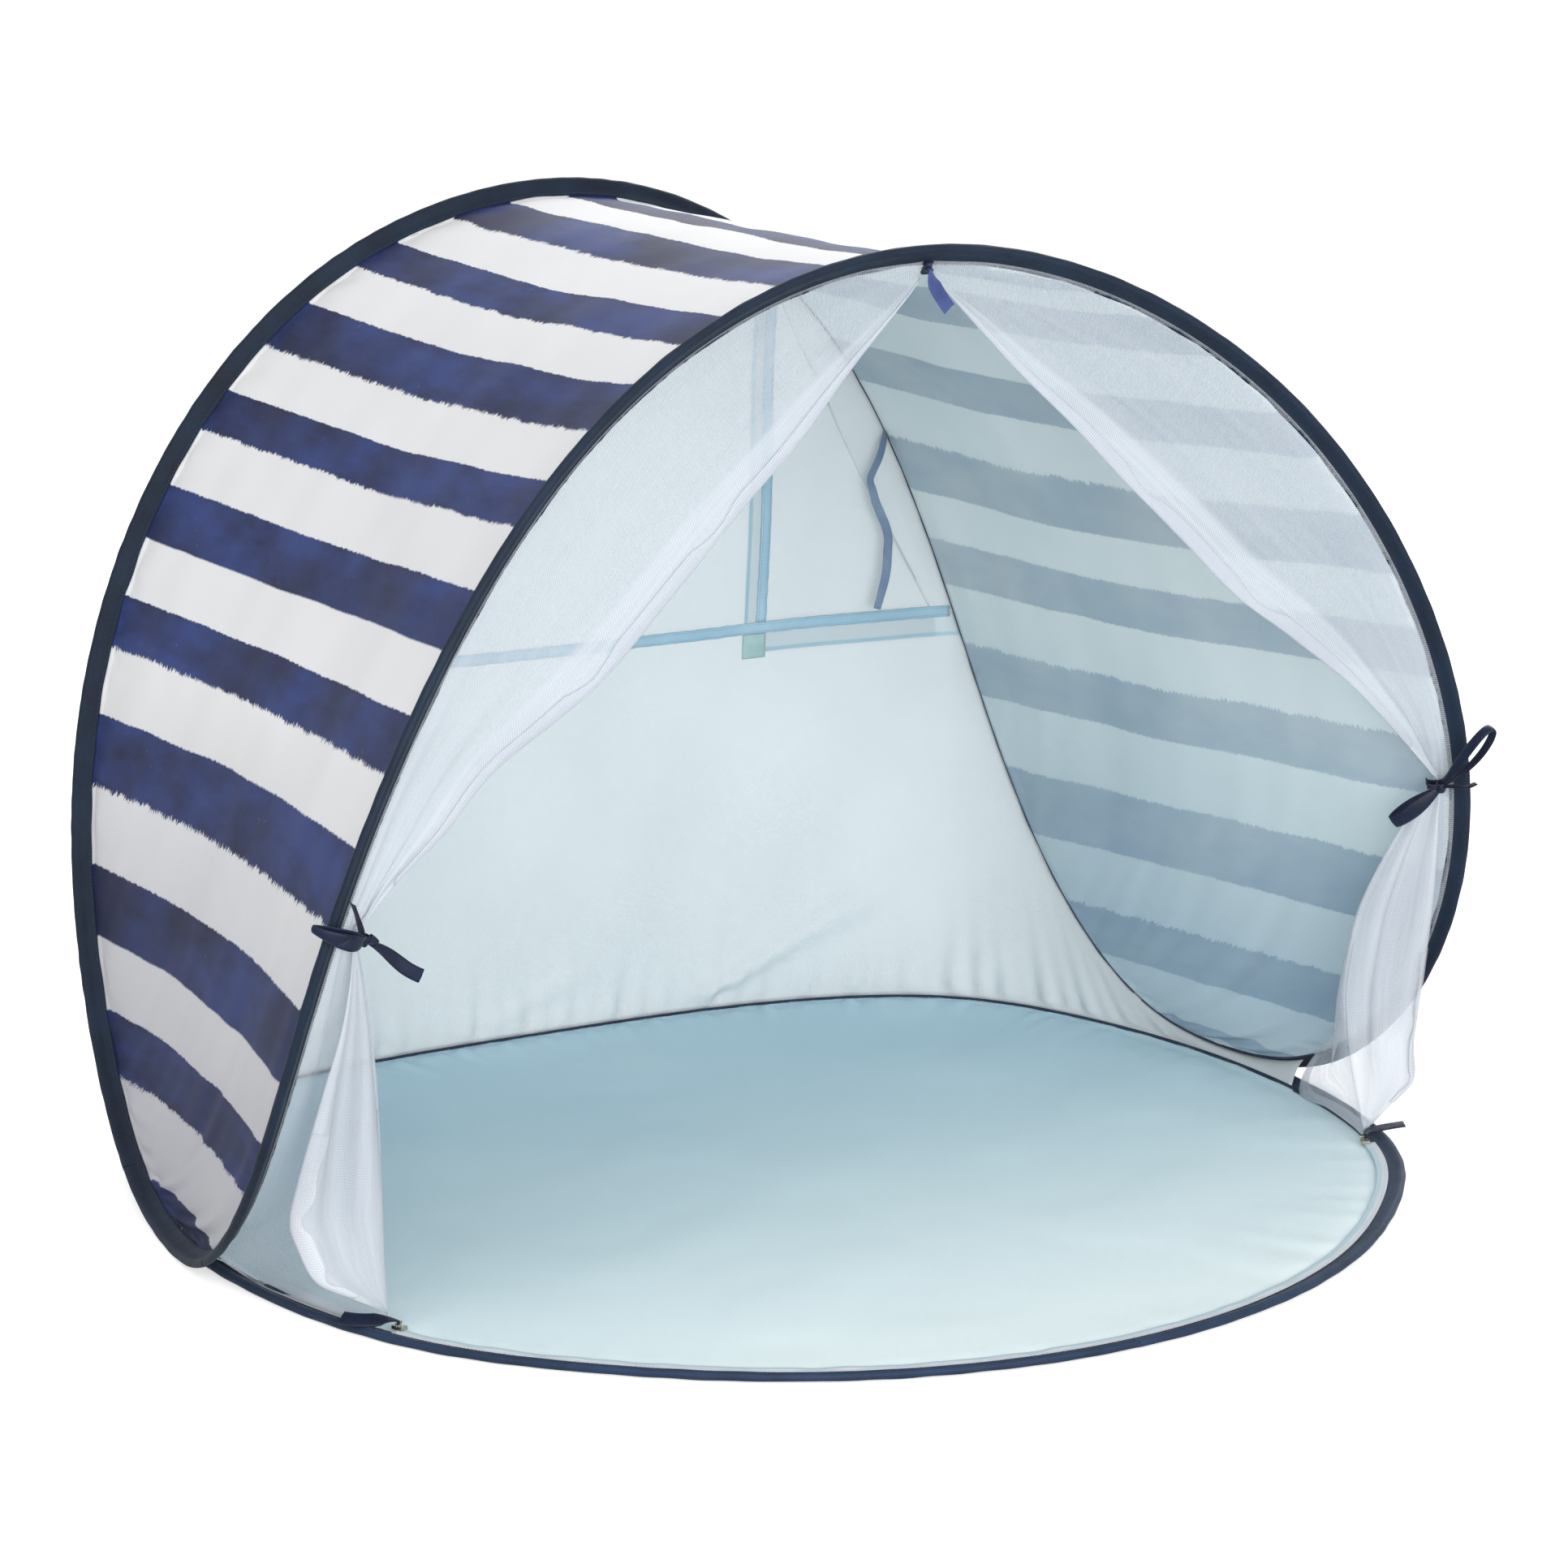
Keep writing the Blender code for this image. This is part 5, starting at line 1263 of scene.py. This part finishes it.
# Below the tie: the share of the way down, then how far the turned-back fold (x, y) and the free edge
# (x, y, z) stand off the straight line to the slider, as shares of the tie's height
NET_HANG = (
    (0.00, 0.000, 0.000, 0.000, 0.000, 0.000),
    (0.20, -0.045, 0.067, 0.040, 0.000, 0.000),
    (0.40, -0.073, 0.108, 0.096, 0.030, 0.000),
    (0.60, -0.073, 0.108, 0.146, 0.066, 0.000),
    (0.78, -0.050, 0.073, 0.180, 0.090, 0.012),
    (0.88, -0.028, 0.042, 0.149, 0.020, -0.010),
    (1.00, 0.000, 0.000, 0.010, -0.020, 0.016),
)

slider_stops = np.arange(56, 73.0, 1.0)
slider_stop = float(np.interp(-FLOOR_SLIDER_Y, -floor_ring.at(slider_stops)[0][:, 1], slider_stops))
tie_stop = float(round(stop_at_height(TIE_HEIGHT, np.arange(60.0, 79.0, 0.05))))


def from_table(table, part):
    table = np.array(table)
    return [float(np.interp(part, table[:, 0], table[:, k])) for k in range(1, table.shape[1])]


# The right half of the net in columns from its sewn edge to its free edge, top to bottom: first where
# each is sewn, to the arch and then to the floor's edge as far as the slider
net_sewn = []
for stop in [79.92, *np.arange(79.0, 61.0, -1.0)]:
    hem = canopy_ring.place(stop, SEWN_AT, NET_LAP)
    net_sewn.append((hem, canopy_ring.place(stop, SLEEVE_MOUTH, NET_LAP)))
last_stop = slider_stop - 0.024 / floor_ring.step(58)
for stop in [*np.arange(58.0, math.ceil(last_stop), 1.0), last_stop]:
    hem = floor_ring.place(stop, 0.0042, -0.0038)
    net_sewn.append((hem, floor_ring.place(stop, SLEEVE_TAIL + 0.0008, -NET_LAP - 0.0012)))
net_top = canopy_ring.place(79.90, SLEEVE_TAIL + 0.010, BUNCH_THICKNESS)
thick = NET_LAP + NET_CLOTH / 2
fold_at_tie = canopy_ring.place(tie_stop, SLEEVE_MOUTH + BUNCH_WIDTH, thick + BUNCH_THICKNESS / 2)
edge_at_tie = canopy_ring.place(tie_stop, SLEEVE_MOUTH + BUNCH_WIDTH / 2, thick + BUNCH_THICKNESS)
net_foot = floor_ring.place(slider_stop - 0.012 / floor_ring.step(0), SLEEVE_TAIL)
net_foot = net_foot + np.array((-0.004, 0, 0.012))

# Counts of columns: above the tie, from the tie down to the ground tip, and all below the tie
net_upper = int(80 - tie_stop)
net_arch = int(tie_stop - 62)
net_lower = len(net_sewn) - 1 - net_upper
FORWARD = np.array((0.0, -1.0, 0.0))


def column_above(start, part):
    """Points of a column above the tie, flat in its upper part and bunched near the tie."""
    across, height = from_table(NET_EDGE, part)
    free = np.array(
        (
            net_top[0] + (edge_at_tie[0] - net_top[0]) * across,
            net_top[1] + (edge_at_tie[1] - net_top[1]) * part - 0.012 * math.sin(math.pi * part),
            edge_at_tie[2] + (net_top[2] - edge_at_tie[2]) * height,
        )
    )
    gather = part**6
    points = []
    for row in range(1, 9):
        flat = start * (1 - row / 8) + free * row / 8
        if row <= 4:
            bunch = start * (1 - row / 4) + fold_at_tie * row / 4
        else:
            bunch = fold_at_tie * (2 - row / 4) + edge_at_tie * (row / 4 - 1)
        points.append(flat * (1 - gather) + bunch * gather)
    return points


def column_below(start, part):
    """Points of a column below the tie: out to the turned-back fold, and from it to the free edge."""
    fold_x, fold_y, edge_x, edge_y, edge_z = from_table(NET_HANG, part)
    fold = fold_at_tie * (1 - part) + net_foot * part + np.array((fold_x, fold_y, 0.0)) * TIE_HEIGHT
    edge = edge_at_tie * (1 - part) + net_foot * part + np.array((edge_x, edge_y, edge_z)) * TIE_HEIGHT
    swell = 0.006 * math.sin(math.pi * min(1.0, part / 0.9))
    points = []
    for first, last, turns, depth in ((start, fold, 2, swell / 2), (fold, edge, 3, swell)):
        for row in range(1, 5):
            wave = FORWARD * math.sin(turns * math.pi * row / 4) * depth
            points.append(first * (1 - row / 4) + last * row / 4 + wave)
    return points


net_coarse = []
for column, (hem, start) in enumerate(net_sewn):
    step = column - net_upper
    if step <= 0:
        points = column_above(start, column / net_upper)
    elif step <= net_arch:
        points = column_below(start, step / net_arch * 0.75)
    else:
        points = column_below(start, 0.75 + 0.25 * (step - net_arch) / (net_lower - net_arch))
    net_coarse.append([hem, start, *points])
COLUMNS_PER_STEP = 9
ROWS_PER_STEP = 9
NET_ROWS = 9
count = (len(net_coarse) - 1) * COLUMNS_PER_STEP + 1
net_fine = smooth_line(net_coarse, count)
net_fine = np.swapaxes(smooth_line(np.swapaxes(net_fine, 0, 1), NET_ROWS * ROWS_PER_STEP + 1), 0, 1)

# Folds: they run together at the tie, from where the net fans out above and hangs in pleats below
step_at = np.arange(count)[:, None] / COLUMNS_PER_STEP
row_at = np.arange(net_fine.shape[1])[None, :] / ROWS_PER_STEP
loose = np.clip((row_at - 1.0) / 1.5, 0, 1)
above = step_at <= net_upper
to_tie = np.where(above, step_at / net_upper, 1.0)
below = np.clip((step_at - net_upper) / net_lower, 0, 1)
fan = np.sin(row_at * 2.3 + 0.8 * np.sin(row_at)) * 0.0035 * to_tie**3 * (1 - 0.4 * to_tie)
pleat = np.sin(row_at * 3.1 + 2.2 * below + 0.9 * np.sin(row_at * 1.3)) * 0.0042
pleat = pleat * np.sin(np.pi * np.clip(below * 1.05, 0, 1)) ** 0.7
slack = line_waves(step_at * 0.065 + row_at * 0.02, 0.16, 95) * 0.0022
slack = slack * (row_at / NET_ROWS) * (1 - to_tie**4)
shape = np.where(above, fan + slack, pleat)
net_fine = net_fine + facing(net_fine) * (shape * loose)[..., None]
net_run = step_at * 0.064 + 0 * row_at
net_reach = row_at / NET_ROWS * 0.42 + 0 * step_at

# How many layers of net lie over each other: more at the tie, in the turned-back bunch and at the hems
edge_fold = np.clip((row_at - 6.7) / 0.5, 0, 1)
edge_fold = edge_fold**2 * (3 - 2 * edge_fold) * np.clip(0.25 + to_tie * 2.5, 0, 1)
turned_back = np.clip((row_at - 4.4) / 0.8, 0, 1)
gathered = np.exp(-below / 0.10)
hanging = 1.0 + 1.6 * gathered + turned_back * (1.5 - 0.4 * below) + 0.9 * edge_fold
net_layers = np.where(above, 1 + 1.6 * to_tie**5 + 1.5 * edge_fold, hanging)
hem_only = np.clip((1.6 - row_at) / 0.6, 0, 1)
at_floor = np.clip((step_at - net_upper - net_arch - 1) / 0.5, 0, 1)
net_layers = net_layers * (1 - hem_only) + (1.0 + 6.0 * at_floor) * hem_only

NET_HOLE = 0.0021


def net_material(name, code, thick_code, cover):
    """Fine tulle. Its holes are under a millimetre, drawn here at three times that so they show."""
    material, tree, shader = new_material(name)
    cut = on_cloth(tree)
    layers = add(tree, "ShaderNodeAttribute", attribute_name="layers").outputs["Fac"]
    shade = blend_colour(tree, span(tree, layers, 1.2, 2.6), colour(code), colour(thick_code))
    tree.links.new(shade, shader.inputs["Base Color"])
    shader.inputs["Roughness"].default_value = 0.7
    shader.inputs["Sheen Weight"].default_value = 0.1
    hole = add(tree, "ShaderNodeMath", {0: weave(tree, cut, NET_HOLE)}, operation="ABSOLUTE").outputs[0]
    thread = span(tree, hole, 0.15, 0.85, cover + 0.10, cover - 0.12)
    cloud = noise(tree, cut, 0.022, 3.0, 0.6, stretch=(0.07, 1, 1))
    density = add(tree, "ShaderNodeMath", {0: thread, 1: span(tree, cloud, 0.3, 0.7, -0.05, 0.08)}).outputs[0]
    open_part = add(tree, "ShaderNodeMath", {0: 1.0, 1: density}, operation="SUBTRACT").outputs[0]
    open_part = add(tree, "ShaderNodeMath", {0: open_part, 1: layers}, operation="POWER").outputs[0]
    density = add(tree, "ShaderNodeMath", {0: 1.0, 1: open_part}, operation="SUBTRACT").outputs[0]
    through = add(tree, "ShaderNodeBsdfTranslucent", {"Color": shade}).outputs[0]
    fabric = add(tree, "ShaderNodeMixShader", {0: 0.35, 1: shader.outputs[0], 2: through}).outputs[0]
    clear = add(tree, "ShaderNodeBsdfTransparent").outputs[0]
    mixed = add(tree, "ShaderNodeMixShader", {0: density, 1: clear, 2: fabric}).outputs[0]
    tree.links.new(mixed, tree.nodes["Material Output"].inputs["Surface"])
    return material


white_net = net_material("polyester tulle, white", "D0D4DB", "D6DAE0", 0.26)
white_hem = net_material("polyester tulle, hemmed double", "D6DAE1", "DCDFE5", 0.50)
foot_hem = net_material("polyester tulle, hemmed over a cord", "DEE1E6", "E2E5E9", 0.72)
layers = [("layers", net_layers)]
for side, sign in SIDES:
    grid = mirror(net_fine, sign)
    net = cloth_shell("net_door_" + side, grid, NET_CLOTH, [white_net], False, net_run, net_reach, layers)
    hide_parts("net_" + side)
    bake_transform(net)

# The cut edge of the floor's tape beside the net's foot, overcast with navy thread
stops = np.linspace(57.8, slider_stop - 0.4, 220)
foot_edge = floor_ring.place(stops, 0.0160, -0.0012 - 0.0002 * line_waves(stops * 0.065, 0.05, 58))
for side, sign in SIDES:
    overcast = rod("foot_overcast_edge_" + side, mirror(foot_edge, sign), 0.0007, navy_thread)
    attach(overcast, "tent")


HEM_CLOTH = 0.0005
HEM_WIDTH = 0.014


def edge_tape(columns, folded):
    """A tape on the front of the net along its free edge, a little folded over."""
    edge = columns[:, -1]
    inward = unit(columns[:, -1 - ROWS_PER_STEP // 2] - edge)
    face = unit(np.cross(np.gradient(edge, axis=0), inward))
    face = face * np.sign(-face[:, 1:2])
    width = HEM_WIDTH * (1 + 0.28 * line_waves(np.arange(len(edge)) * 0.0072, 0.10, 96))
    room = 0.8 * np.linalg.norm(columns[:, -1 - ROWS_PER_STEP] - edge, axis=1)
    reach = np.minimum(width, room)[:, None]
    rows = []
    for share in np.linspace(0, 1, 9):
        rise = 0.0009 + 0.0012 * share + folded * math.sin(math.pi * share)
        rows.append(edge + face * rise + inward * reach * share)
    return np.stack(rows, axis=1)


door_grid = edge_tape(net_fine[: (net_upper - 2) * COLUMNS_PER_STEP + 1], 0.0010)
door_layers = [("layers", np.ones(door_grid.shape[:2]))]
foot_grid = edge_tape(net_fine[(net_upper + 4) * COLUMNS_PER_STEP : count - COLUMNS_PER_STEP], 0.0015)
faded_in = np.clip(np.arange(len(foot_grid)) / (0.55 * len(foot_grid)), 0.12, 1)[:, None]
foot_layers = [("layers", faded_in * np.ones(foot_grid.shape[:2]))]
for side, sign in SIDES:
    grid = mirror(door_grid, sign)
    door_tape = cloth_shell("door_edge_tape_" + side, grid, HEM_CLOTH, [white_hem], extra=door_layers)
    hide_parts("door_zip_tape_" + side)
    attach(door_tape, "front_arch")
    grid = mirror(foot_grid, sign)
    low_tape = cloth_shell("foot_edge_tape_" + side, grid, HEM_CLOTH, [foot_hem], extra=foot_layers)
    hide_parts("bottom_zip_tape_" + side)
    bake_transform(low_tape)


# The zip along the front of the floor. White coil zip tape on the binding's inner edge, a nickel slider
# parked at each end with a short navy ribbon to pull it by, and a navy slider under the arch's top.

ZIP_TAPE_WIDTH = 0.0105
white_tape = coated_cloth(
    "polyester zip tape, white", ("DDE1E6", "E6E9ED"), 0.2, "E4E8EE", 0.65, 2.0, sheen=0.1, cloud=0.05
)

# The zip's tape is white along its coil; its inner half is the floor's blue, hemmed over
tree, base, plain = painted(white_tape)
from_inside = add(tree, "ShaderNodeSeparateXYZ", {0: on_cloth(tree)}).outputs[1]
two_tone = blend_colour(tree, span(tree, from_inside, 0.0046, 0.0052), colour("CBE2E9"), plain)
tree.links.new(two_tone, base)


def zip_rows(stop):
    """Lines along the zip's tape: on the sleeve, at the sleeve's edge, and near the floor's cloth."""
    lap = 0.00105 + 0.0003 + 0.0004
    over = floor_ring.place(stop, SEWN_AT, -lap)
    edge = floor_ring.place(stop, SLEEVE_TAIL + 0.0003, -lap)
    inner = floor_ring.place(stop, SEWN_AT + ZIP_TAPE_WIDTH, 0.0)
    inner[..., 2] = CLOTH + 0.0003 + 0.0012 + 0.0003
    return over, edge, inner


stops = np.concatenate([np.linspace(slider_stop, 72, 260), 72 + np.linspace(0, 72 - slider_stop, 260)[1:]])
over, edge, inner = zip_rows(stops)
rows = [over, (over + edge) / 2, edge]
rows += [edge * (1 - s) + inner * s for s in np.linspace(0.15, 1.0, 7)]
grid = np.stack(rows, axis=1)
grid[:, 3:, 2] += 0.0005 + line_waves(stops * 0.05, 0.05, 97)[:, None] * 0.0003
zip_tape = cloth_shell("floor_zip_cloth", grid[:, ::-1], 0.0007, [white_tape])
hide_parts("floor_zip_tape")
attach(zip_tape, "tent")

cast_nickel = drawn_metal("zinc casting, nickel plated", "B9B5A8", 0.30, 0.00003)
lacquered, tree, shader = new_material("zinc casting, navy lacquer")
place = add(tree, "ShaderNodeTexCoord").outputs["Object"]
chips = noise(tree, place, 0.0018, 3.0)
wear = span(tree, chips, 0.66, 0.74, 0.0, 0.7)
tree.links.new(blend_colour(tree, wear, colour("1B2237"), colour("6E7480")), shader.inputs["Base Color"])
tree.links.new(span(tree, chips, 0.3, 0.7, 0.34, 0.5), shader.inputs["Roughness"])
shader.inputs["Coat Weight"].default_value = 0.3
for node in ("floor_slider_left", "floor_slider_right"):
    dress(node, cast_nickel)
dress("top_slider", lacquered)

satin = navy_tape("satin ribbon, navy", "091022", "131E3C", 0.4, 0.08)
satin_pale = navy_tape("satin ribbon, navy, catching the light", "2A3560", "4C5A92", 0.35, 0.15)


BAR_HEIGHT = 0.006
BAR_RADIUS = 0.0015
RIBBON_IN_BAR = 0.0030
PULL_STEPS = 40


def pull(name, node, bar, ways, length, turn, roll, width, material, sign=1.0):
    """A ribbon through the slider's bar, its two ends laid together and sewn.

    The ways are ahead, up and aside of the bar. The ribbon turns aside by the first angle and then on
    to the second, and rolls over by an angle on its way.
    """
    ahead, up, aside = ways
    path = []
    wide = []
    widths = []
    for share in np.linspace(0, 1, 24):
        angle = math.pi * (-0.2 + 1.2 * share)
        path.append(bar - ahead * math.sin(angle) * BAR_RADIUS - up * math.cos(angle) * BAR_RADIUS)
        wide.append(aside)
        widths.append(RIBBON_IN_BAR)
    place = path[-1]
    for share in np.linspace(0, 1, PULL_STEPS + 1)[1:]:
        heading = turn[0] * min(1.0, 3 * share) + (turn[1] - turn[0]) * max(0.0, 1.5 * share - 0.5)
        way = unit(ahead * math.cos(heading) + aside * math.sin(heading))
        place = place + way * length / PULL_STEPS + up * 0.0006 / PULL_STEPS * math.cos(5 * share)
        path.append(place)
        level = unit(aside * math.cos(heading) - ahead * math.sin(heading))
        tilt = roll * min(1.0, 2.5 * share)
        wide.append(level * math.cos(tilt) + np.cross(way, level) * math.sin(tilt))
        widths.append(RIBBON_IN_BAR + (width - RIBBON_IN_BAR) * min(1.0, 3 * share))
    grid = ribbon_grid(path, wide, widths, rows=9, cup=0.0004)
    item = cloth_shell(name, mirror(grid, sign), 0.0010, [material])
    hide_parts(node)
    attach(item, node)


_, travel, inward, _ = floor_ring.at(slider_stop)
_, edge, inner = zip_rows(np.array(slider_stop))
rise = unit(np.cross(inner - edge, travel))
rise = rise if rise[2] > 0 else -rise
bar = (edge + inner) / 2 + rise * (0.0004 + 0.0003) + rise * BAR_HEIGHT
ways = (-unit(travel - rise * (travel @ rise)), rise, -unit(inward - rise * (inward @ rise)))
for side, sign, turn, roll, width in (
    ("left", -1.0, (1.10, 0.12), 0.7, 0.0120),
    ("right", 1.0, (1.25, 1.55), 0.25, 0.0092),
):
    pull("floor_pull_ribbon_" + side, "floor_pull_" + side, bar, ways, 0.046, turn, roll, width, satin, sign)

_, _, _, top_side = canopy_ring.at(0)
bar = canopy_ring.place(0, SEWN_AT + 0.0055, 0.00135) + top_side * BAR_HEIGHT
ways = np.array(((0.0, 0.0, -1.0), (0.0, -1.0, 0.0), (1.0, 0.0, 0.0)))
pull("top_pull_ribbon", "top_pull", bar, ways, 0.036, (0.55, 0.72), 0.0, 0.0115, satin_pale)


# The ties. A navy satin ribbon sewn into the arch's seam on each side goes round the gathered net and
# ends in a bow with two loops and two or three tails.

# The band's way round the net, as places in from the arch's wire and out from it
BAND = (
    (0.0120, 0.0028),
    (0.0160, 0.0036),
    (0.0195, 0.0085),
    (0.0235, 0.0105),
    (0.0285, 0.0100),
    (0.0335, 0.0080),
    (0.0350, 0.0045),
)
BOW_CLOTH = 0.0006
KNOT_SIZE = 0.0095
origin, along, tail, out = canopy_ring.at(tie_stop)
knot = origin + tail * 0.0235 + out * 0.0160
band_path = smooth_line([origin + tail * n + out * b for n, b in BAND], 50)


# Each ribbon of the bows: where its end lies from the knot (inward, up the arch, outward), how far it
# humps outward on the way, a loop's opening or a tail's sway, the turn at its start and end (0 edge on,
# 90 flat to the front), its width and, for a loop, the share of that width left at its folded end.
BOWS = {
    "left": {
        "face": (-0.40, -0.885, 0.246),
        "loops": (
            ((-0.040, 0.004, -0.023), 0.003, 0.0055, 70, 46, 0.0120, 0.45),
            ((-0.034, 0.000, -0.014), 0.005, 0.0045, 82, 58, 0.0110, 0.45),
        ),
        "tails": (
            ((0.040, -0.019, 0.036), 0.002, 0.0012, 14, 84, 0.0112),
            ((-0.030, 0.032, -0.003), 0.001, 0.0, 40, 16, 0.0070),
            ((0.006, 0.004, 0.006), 0.002, 0.0, 40, 75, 0.0088),
        ),
    },
    "right": {
        "face": (-0.625, -0.752, 0.209),
        "loops": (
            ((-0.047, 0.056, 0.004), 0.005, 0.0105, 62, 20, 0.0098, 1.0),
            ((0.044, -0.029, 0.003), 0.003, 0.0070, 72, 40, 0.0135, 0.9),
        ),
        "tails": (
            ((-0.030, 0.003, 0.005), 0.003, 0.0010, 20, 22, 0.0088),
            ((0.012, 0.004, 0.004), 0.002, 0.0, 20, 30, 0.0082),
        ),
    },
}


def bow_parts(sign, face, loops, tails):
    """A bow's ribbons, each as points along it with the way its width points there and its width."""
    face = unit(face)
    start = mirror(knot, sign)
    frame_ways = [mirror(way, sign) for way in (tail, along, out)]

    def spine(end, hump, reach, bend=1):
        inward, upward, outward = end
        rise = outward * reach**bend + hump * 4 * reach * (1 - reach)
        return frame_ways[0] * inward * reach + frame_ways[1] * upward * reach + frame_ways[2] * rise

    def sideways(end):
        whole = spine(end, 0.0, 1.0)
        return np.cross(face, unit(whole - face * (whole @ face)))

    def gathered(reach, narrow, speed):
        """Share of a ribbon's width where the knot draws it in."""
        return narrow + (1 - narrow) * math.sin(math.pi / 2 * min(1.0, speed * reach))

    parts = []
    for end, hump, opening, turn_one, turn_two, width, tip in loops:
        beside = sideways(end)
        part = []
        for place in np.linspace(0.22, 2 * math.pi - 0.22, 72):
            reach = (1 - math.cos(place)) / 2
            opened = opening * math.sin(place) * math.sqrt(reach)
            turn = math.radians(turn_one + (turn_two - turn_one) * (place / (2 * math.pi)) ** 1.5)
            across = beside * math.cos(turn) + face * math.sin(turn)
            point = start + spine(end, hump, reach, 3) + across * opened
            wide = face * math.cos(turn) - beside * math.sin(turn)
            narrowed = 1 - (1 - tip) * max(0.0, 2 * reach - 1) ** 2
            part.append((point, wide, width * gathered(reach, 0.32, 1.6) * narrowed))
        parts.append(part)
    for end, hump, sway, turn_one, turn_two, width in tails:
        beside = sideways(end)
        part = []
        for reach in np.linspace(0.03, 1, 48):
            turn = math.radians(turn_one + (turn_two - turn_one) * min(1.0, 1.5 * reach))
            point = start + spine(end, hump, reach) + beside * sway * math.sin(2 * math.pi * reach)
            wide = face * math.cos(turn) - beside * math.sin(turn)
            part.append((point, wide, width * gathered(reach, 0.55, 2.0)))
        parts.append(part)
    return parts


def joined(name, items):
    """Several pieces of the same ribbon as one."""
    work = bmesh.new()
    for item in items:
        work.from_mesh(item.data)
    mesh = bpy.data.meshes.new(name)
    work.to_mesh(mesh)
    work.free()
    mesh.materials.append(items[0].data.materials[0])
    for item in items:
        bpy.data.objects.remove(item, do_unlink=True)
    made = bpy.data.objects.new(name, mesh)
    scene.collection.objects.link(made)
    return made


def knot_shell(sign):
    """The knot: one turn of the ribbon pulled tight round the others, with creases."""
    grid = []
    for angle in np.linspace(0, 2 * math.pi, 33)[:-1]:
        round_way = tail * math.cos(angle) * 0.9 + out * math.sin(angle)
        column = []
        for row in np.linspace(-1, 1, 15):
            swell = KNOT_SIZE / 2 * (0.72 + 0.28 * math.cos(row * 1.3))
            swell = swell * (1 + 0.05 * math.sin(5 * angle + 2 * row))
            column.append(knot + round_way * swell + along * row * KNOT_SIZE / 2 * 0.9)
        grid.append(column)
    return cloth_shell("bow_knot", mirror(grid, sign), 0.0008, [satin], loop=True)


for side, sign in SIDES:
    grid = ribbon_grid(band_path, along, 0.0075, cup=0.0003)
    band = cloth_shell("tie_band_ribbon_" + side, mirror(grid, sign), 0.0007, [satin])
    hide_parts("tie_band_" + side)
    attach(band, "front_arch")
    pieces = []
    for part in bow_parts(sign, **BOWS[side]):
        grid = ribbon_grid(*zip(*part), cup=0.0006)
        pieces.append(cloth_shell("bow_part", grid, BOW_CLOTH, [satin]))
    pieces.append(knot_shell(sign))
    bow = joined("bow_" + side, pieces)
    bow.data.shade_smooth()
    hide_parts("tie_bow_" + side)
    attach(bow, "front_arch")
